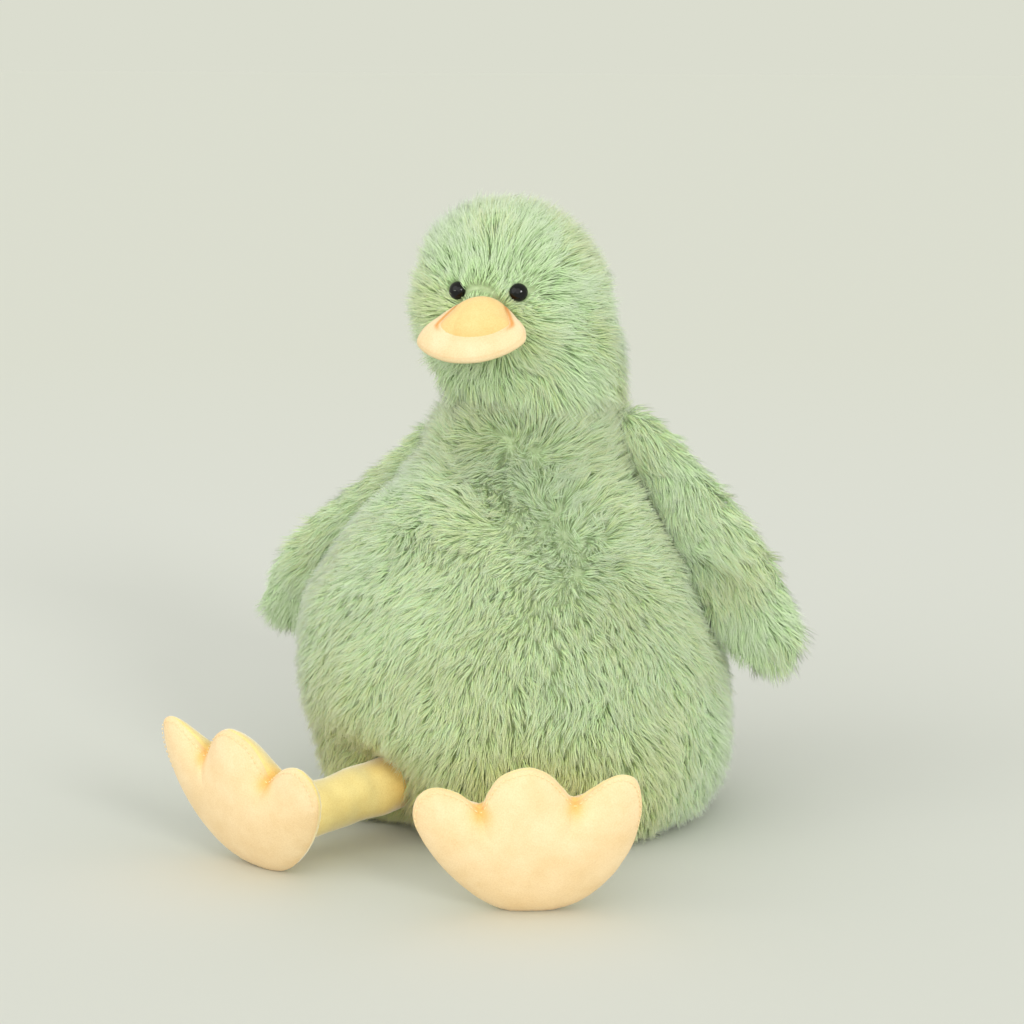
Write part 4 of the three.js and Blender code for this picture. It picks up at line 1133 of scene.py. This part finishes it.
def growWing(name):
    at, s = wingFur, sides[name]
    own = np.random.default_rng(at["ownSeed"] + s)
    grid = wingGrids[name]
    outwards, across, upwards = wingFrames[name].T
    roots, normal = spreadRoots(grid, gridNormals(grid), at["roots"], own)
    local = (roots - jointPlace[f"wing_{name}_lift"]) @ wingFrames[name]
    along = np.clip(-local[:, 2] / wing["long"][name], 0, 1)
    aside = (local[:, 0] - wingBow(name, along)) / (wing["tipWide"] / 2)
    behind = ease(local[:, 1], *at["behind"])  # the pile at the back lies along the wing
    outShare = at["asideComb"] - at["asideLess"] * behind
    flow = outwards * (aside * outShare)[:, None] - upwards + np.array([0, 0, at["sag"]])
    (inner, start), (showFrom, showFull, fadeFrom, fadeTo) = at["partingStart"], at["partingShares"]
    fromLine = -s * aside - inner + at["partingSlope"] * (along - start)
    shown = ease(along, showFrom, showFull) * (1 - ease(along, fadeFrom, fadeTo)) * (local[:, 1] < 0)
    parting = bell(fromLine, at["partingWide"]) * shown
    flow -= outwards * (parting * s * np.sign(fromLine))[:, None] * at["partingComb"]
    flow += drift(roots, *at["combDrift"])
    flank = bodySkinGrid[:, (2 - s) * body["columns"] // 4]  # the body's side line next to this wing
    clear = s * roots[:, 0] - np.interp(roots[:, 2], flank[:, 2], s * flank[:, 0])
    gap = (1 - ease(clear, *at["gapWide"])) * ease(along, *at["gapShares"])
    length = at["length"] * (at["rootLong"] + at["middleLong"] * ease(along, *at["middleShares"])
                             + at["tipLong"] * ease(along, *at["tipLongShares"]))
    length *= (1 - at["gapShort"] * gap) * (1 + waves(roots, *at["lengthWaves"]))
    tipLift = at["tipLift"] + waves(roots, *at["tipWaves"])
    middle, tip, shade, facing = growFur(roots, normal, flow, length, at["rootLift"], tipLift, at, own)
    edge = ease(-s * aside, *at["innerShares"]) * ease(along, *at["innerFrom"])
    tone = at["tone"] + at["tipPaler"] * ease(along, *at["tipPaleShares"])
    tone = tone + shade + waves(roots, *at["toneWaves"])
    # painted shade: darker along the inner edge and in the gap against the body
    tone -= (at["partingDark"] * parting + at["lineDark"] * shown * bell(fromLine, at["partingLine"])
             + at["edgePaintedShade"] * edge + at["gapPaintedShade"] * gap)
    tint = at["tint"] - at["tipMint"] * ease(along, *at["tipMintShares"]) + waves(roots, *at["tintWaves"])
    tint = np.clip(tint, 0, 1)
    rim = np.maximum(ease(np.abs(aside), *at["rimShares"]), ease(along, *at["tipShares"]))
    # the back's strands that show past the rim face sideways
    facing = unit(facing - dot(facing, across) * across * (at["rimTurn"] * rim * behind)[:, None])
    roundness = pile["roundShare"] + (at["edgeRound"] - pile["roundShare"]) * np.maximum(rim, behind)
    writeFur("wing_fur_" + name, "wing_" + name, own, roots, middle, tip, tone, tint, facing, roundness)


growBody()
growHead()
for name in sides:
    growWing(name)


# Floor, light and camera

studio = {
    "backdrop": (219, 221, 207), "floor": (212, 214, 203), "floorFar": (211, 213, 199), "floorSize": 60,
    "farFrom": 0.8, "farTo": 2, "roughness": 0.95, "specular": 0.1, "world": 0.84,
    # each sun's strength, angular size, azimuth to the right of the view, and elevation
    "suns": {"key": (0.97, 15, 27, 20), "front": (0.45, 50, -8, 26), "side": (0.6, 50, -58, 26)},
}


# A new camera or lamp that faces the toy from an azimuth and an elevation, and the way from the toy to it
def aimed(name, data, azimuth, elevation):
    a, e = math.radians(azimuth), math.radians(elevation)
    back = Vector((math.sin(a) * math.cos(e), -math.cos(a) * math.cos(e), math.sin(e)))
    thing = bpy.data.objects.new(name, data)
    thing.rotation_mode = "QUATERNION"
    thing.rotation_quaternion = back.to_track_quat("Z", "Y")
    bpy.context.scene.collection.objects.link(thing)
    return thing, back


# The floor's colour changes with the distance from the toy, so that its far edge looks like the backdrop
def makeFloor():
    half = studio["floorSize"] / 2 / mm
    corners = np.array([(-half, -half, 0), (half, -half, 0), (half, half, 0), (-half, half, 0)])
    floor = makeObject("floor", corners, [np.array([[0, 1, 2, 3]])])
    material, tree, shader = newMaterial("floorPaper")
    place = addNode(tree, "TexCoord").outputs["Object"]
    reach = addNode(tree, "VectorMath", {0: place}, operation="LENGTH").outputs["Value"]
    stops = [(studio["farFrom"] / studio["farTo"], studio["floor"]), (1, studio["floorFar"])]
    colour = addRamp(tree, addMath(tree, "DIVIDE", reach, studio["farTo"]), stops)
    setInputs(tree, shader, {"Base Color": colour, "Roughness": studio["roughness"],
                             "Specular IOR Level": studio["specular"]})
    floor.data.materials.append(material)


# White light from all round, while the camera and gloss see the backdrop's colour
def makeWorld():
    world = bpy.data.worlds.new("studio")
    bpy.context.scene.world = world
    world.use_nodes = True
    tree = world.node_tree
    tree.nodes.clear()
    path = addNode(tree, "LightPath").outputs
    isSeen = addMath(tree, "MAXIMUM", path["Is Camera Ray"], path["Is Glossy Ray"])
    soft = addNode(tree, "Background", {"Color": (1, 1, 1, 1), "Strength": studio["world"]})
    seen = addNode(tree, "Background", {"Color": srgb(*studio["backdrop"])})
    mix = addNode(tree, "MixShader", {0: isSeen, 1: soft.outputs[0], 2: seen.outputs[0]})
    addNode(tree, "OutputWorld", {0: mix.outputs[0]})


def makeCamera():
    data = bpy.data.cameras.new("camera")
    data.lens, data.sensor_width = view["focal"], view["sensor"]
    data.clip_start, data.clip_end = view["clip"]
    camera, back = aimed("camera", data, view["azimuth"], view["elevation"])
    target = Vector((*(-view["aside"] * cameraRight[:2]), view["high"]))
    camera.location = (target + back * view["distance"]) * mm
    bpy.context.scene.camera = camera
    bpy.context.scene.view_settings.view_transform = "Standard"


makeFloor()
makeWorld()
for name, (strength, wide, aside, high) in studio["suns"].items():
    lamp = bpy.data.lights.new(name, "SUN")
    lamp.energy, lamp.angle = strength, math.radians(wide)
    aimed(name, lamp, view["azimuth"] + aside, high)
makeCamera()
print("studio ready")

bpy.context.view_layer.update()
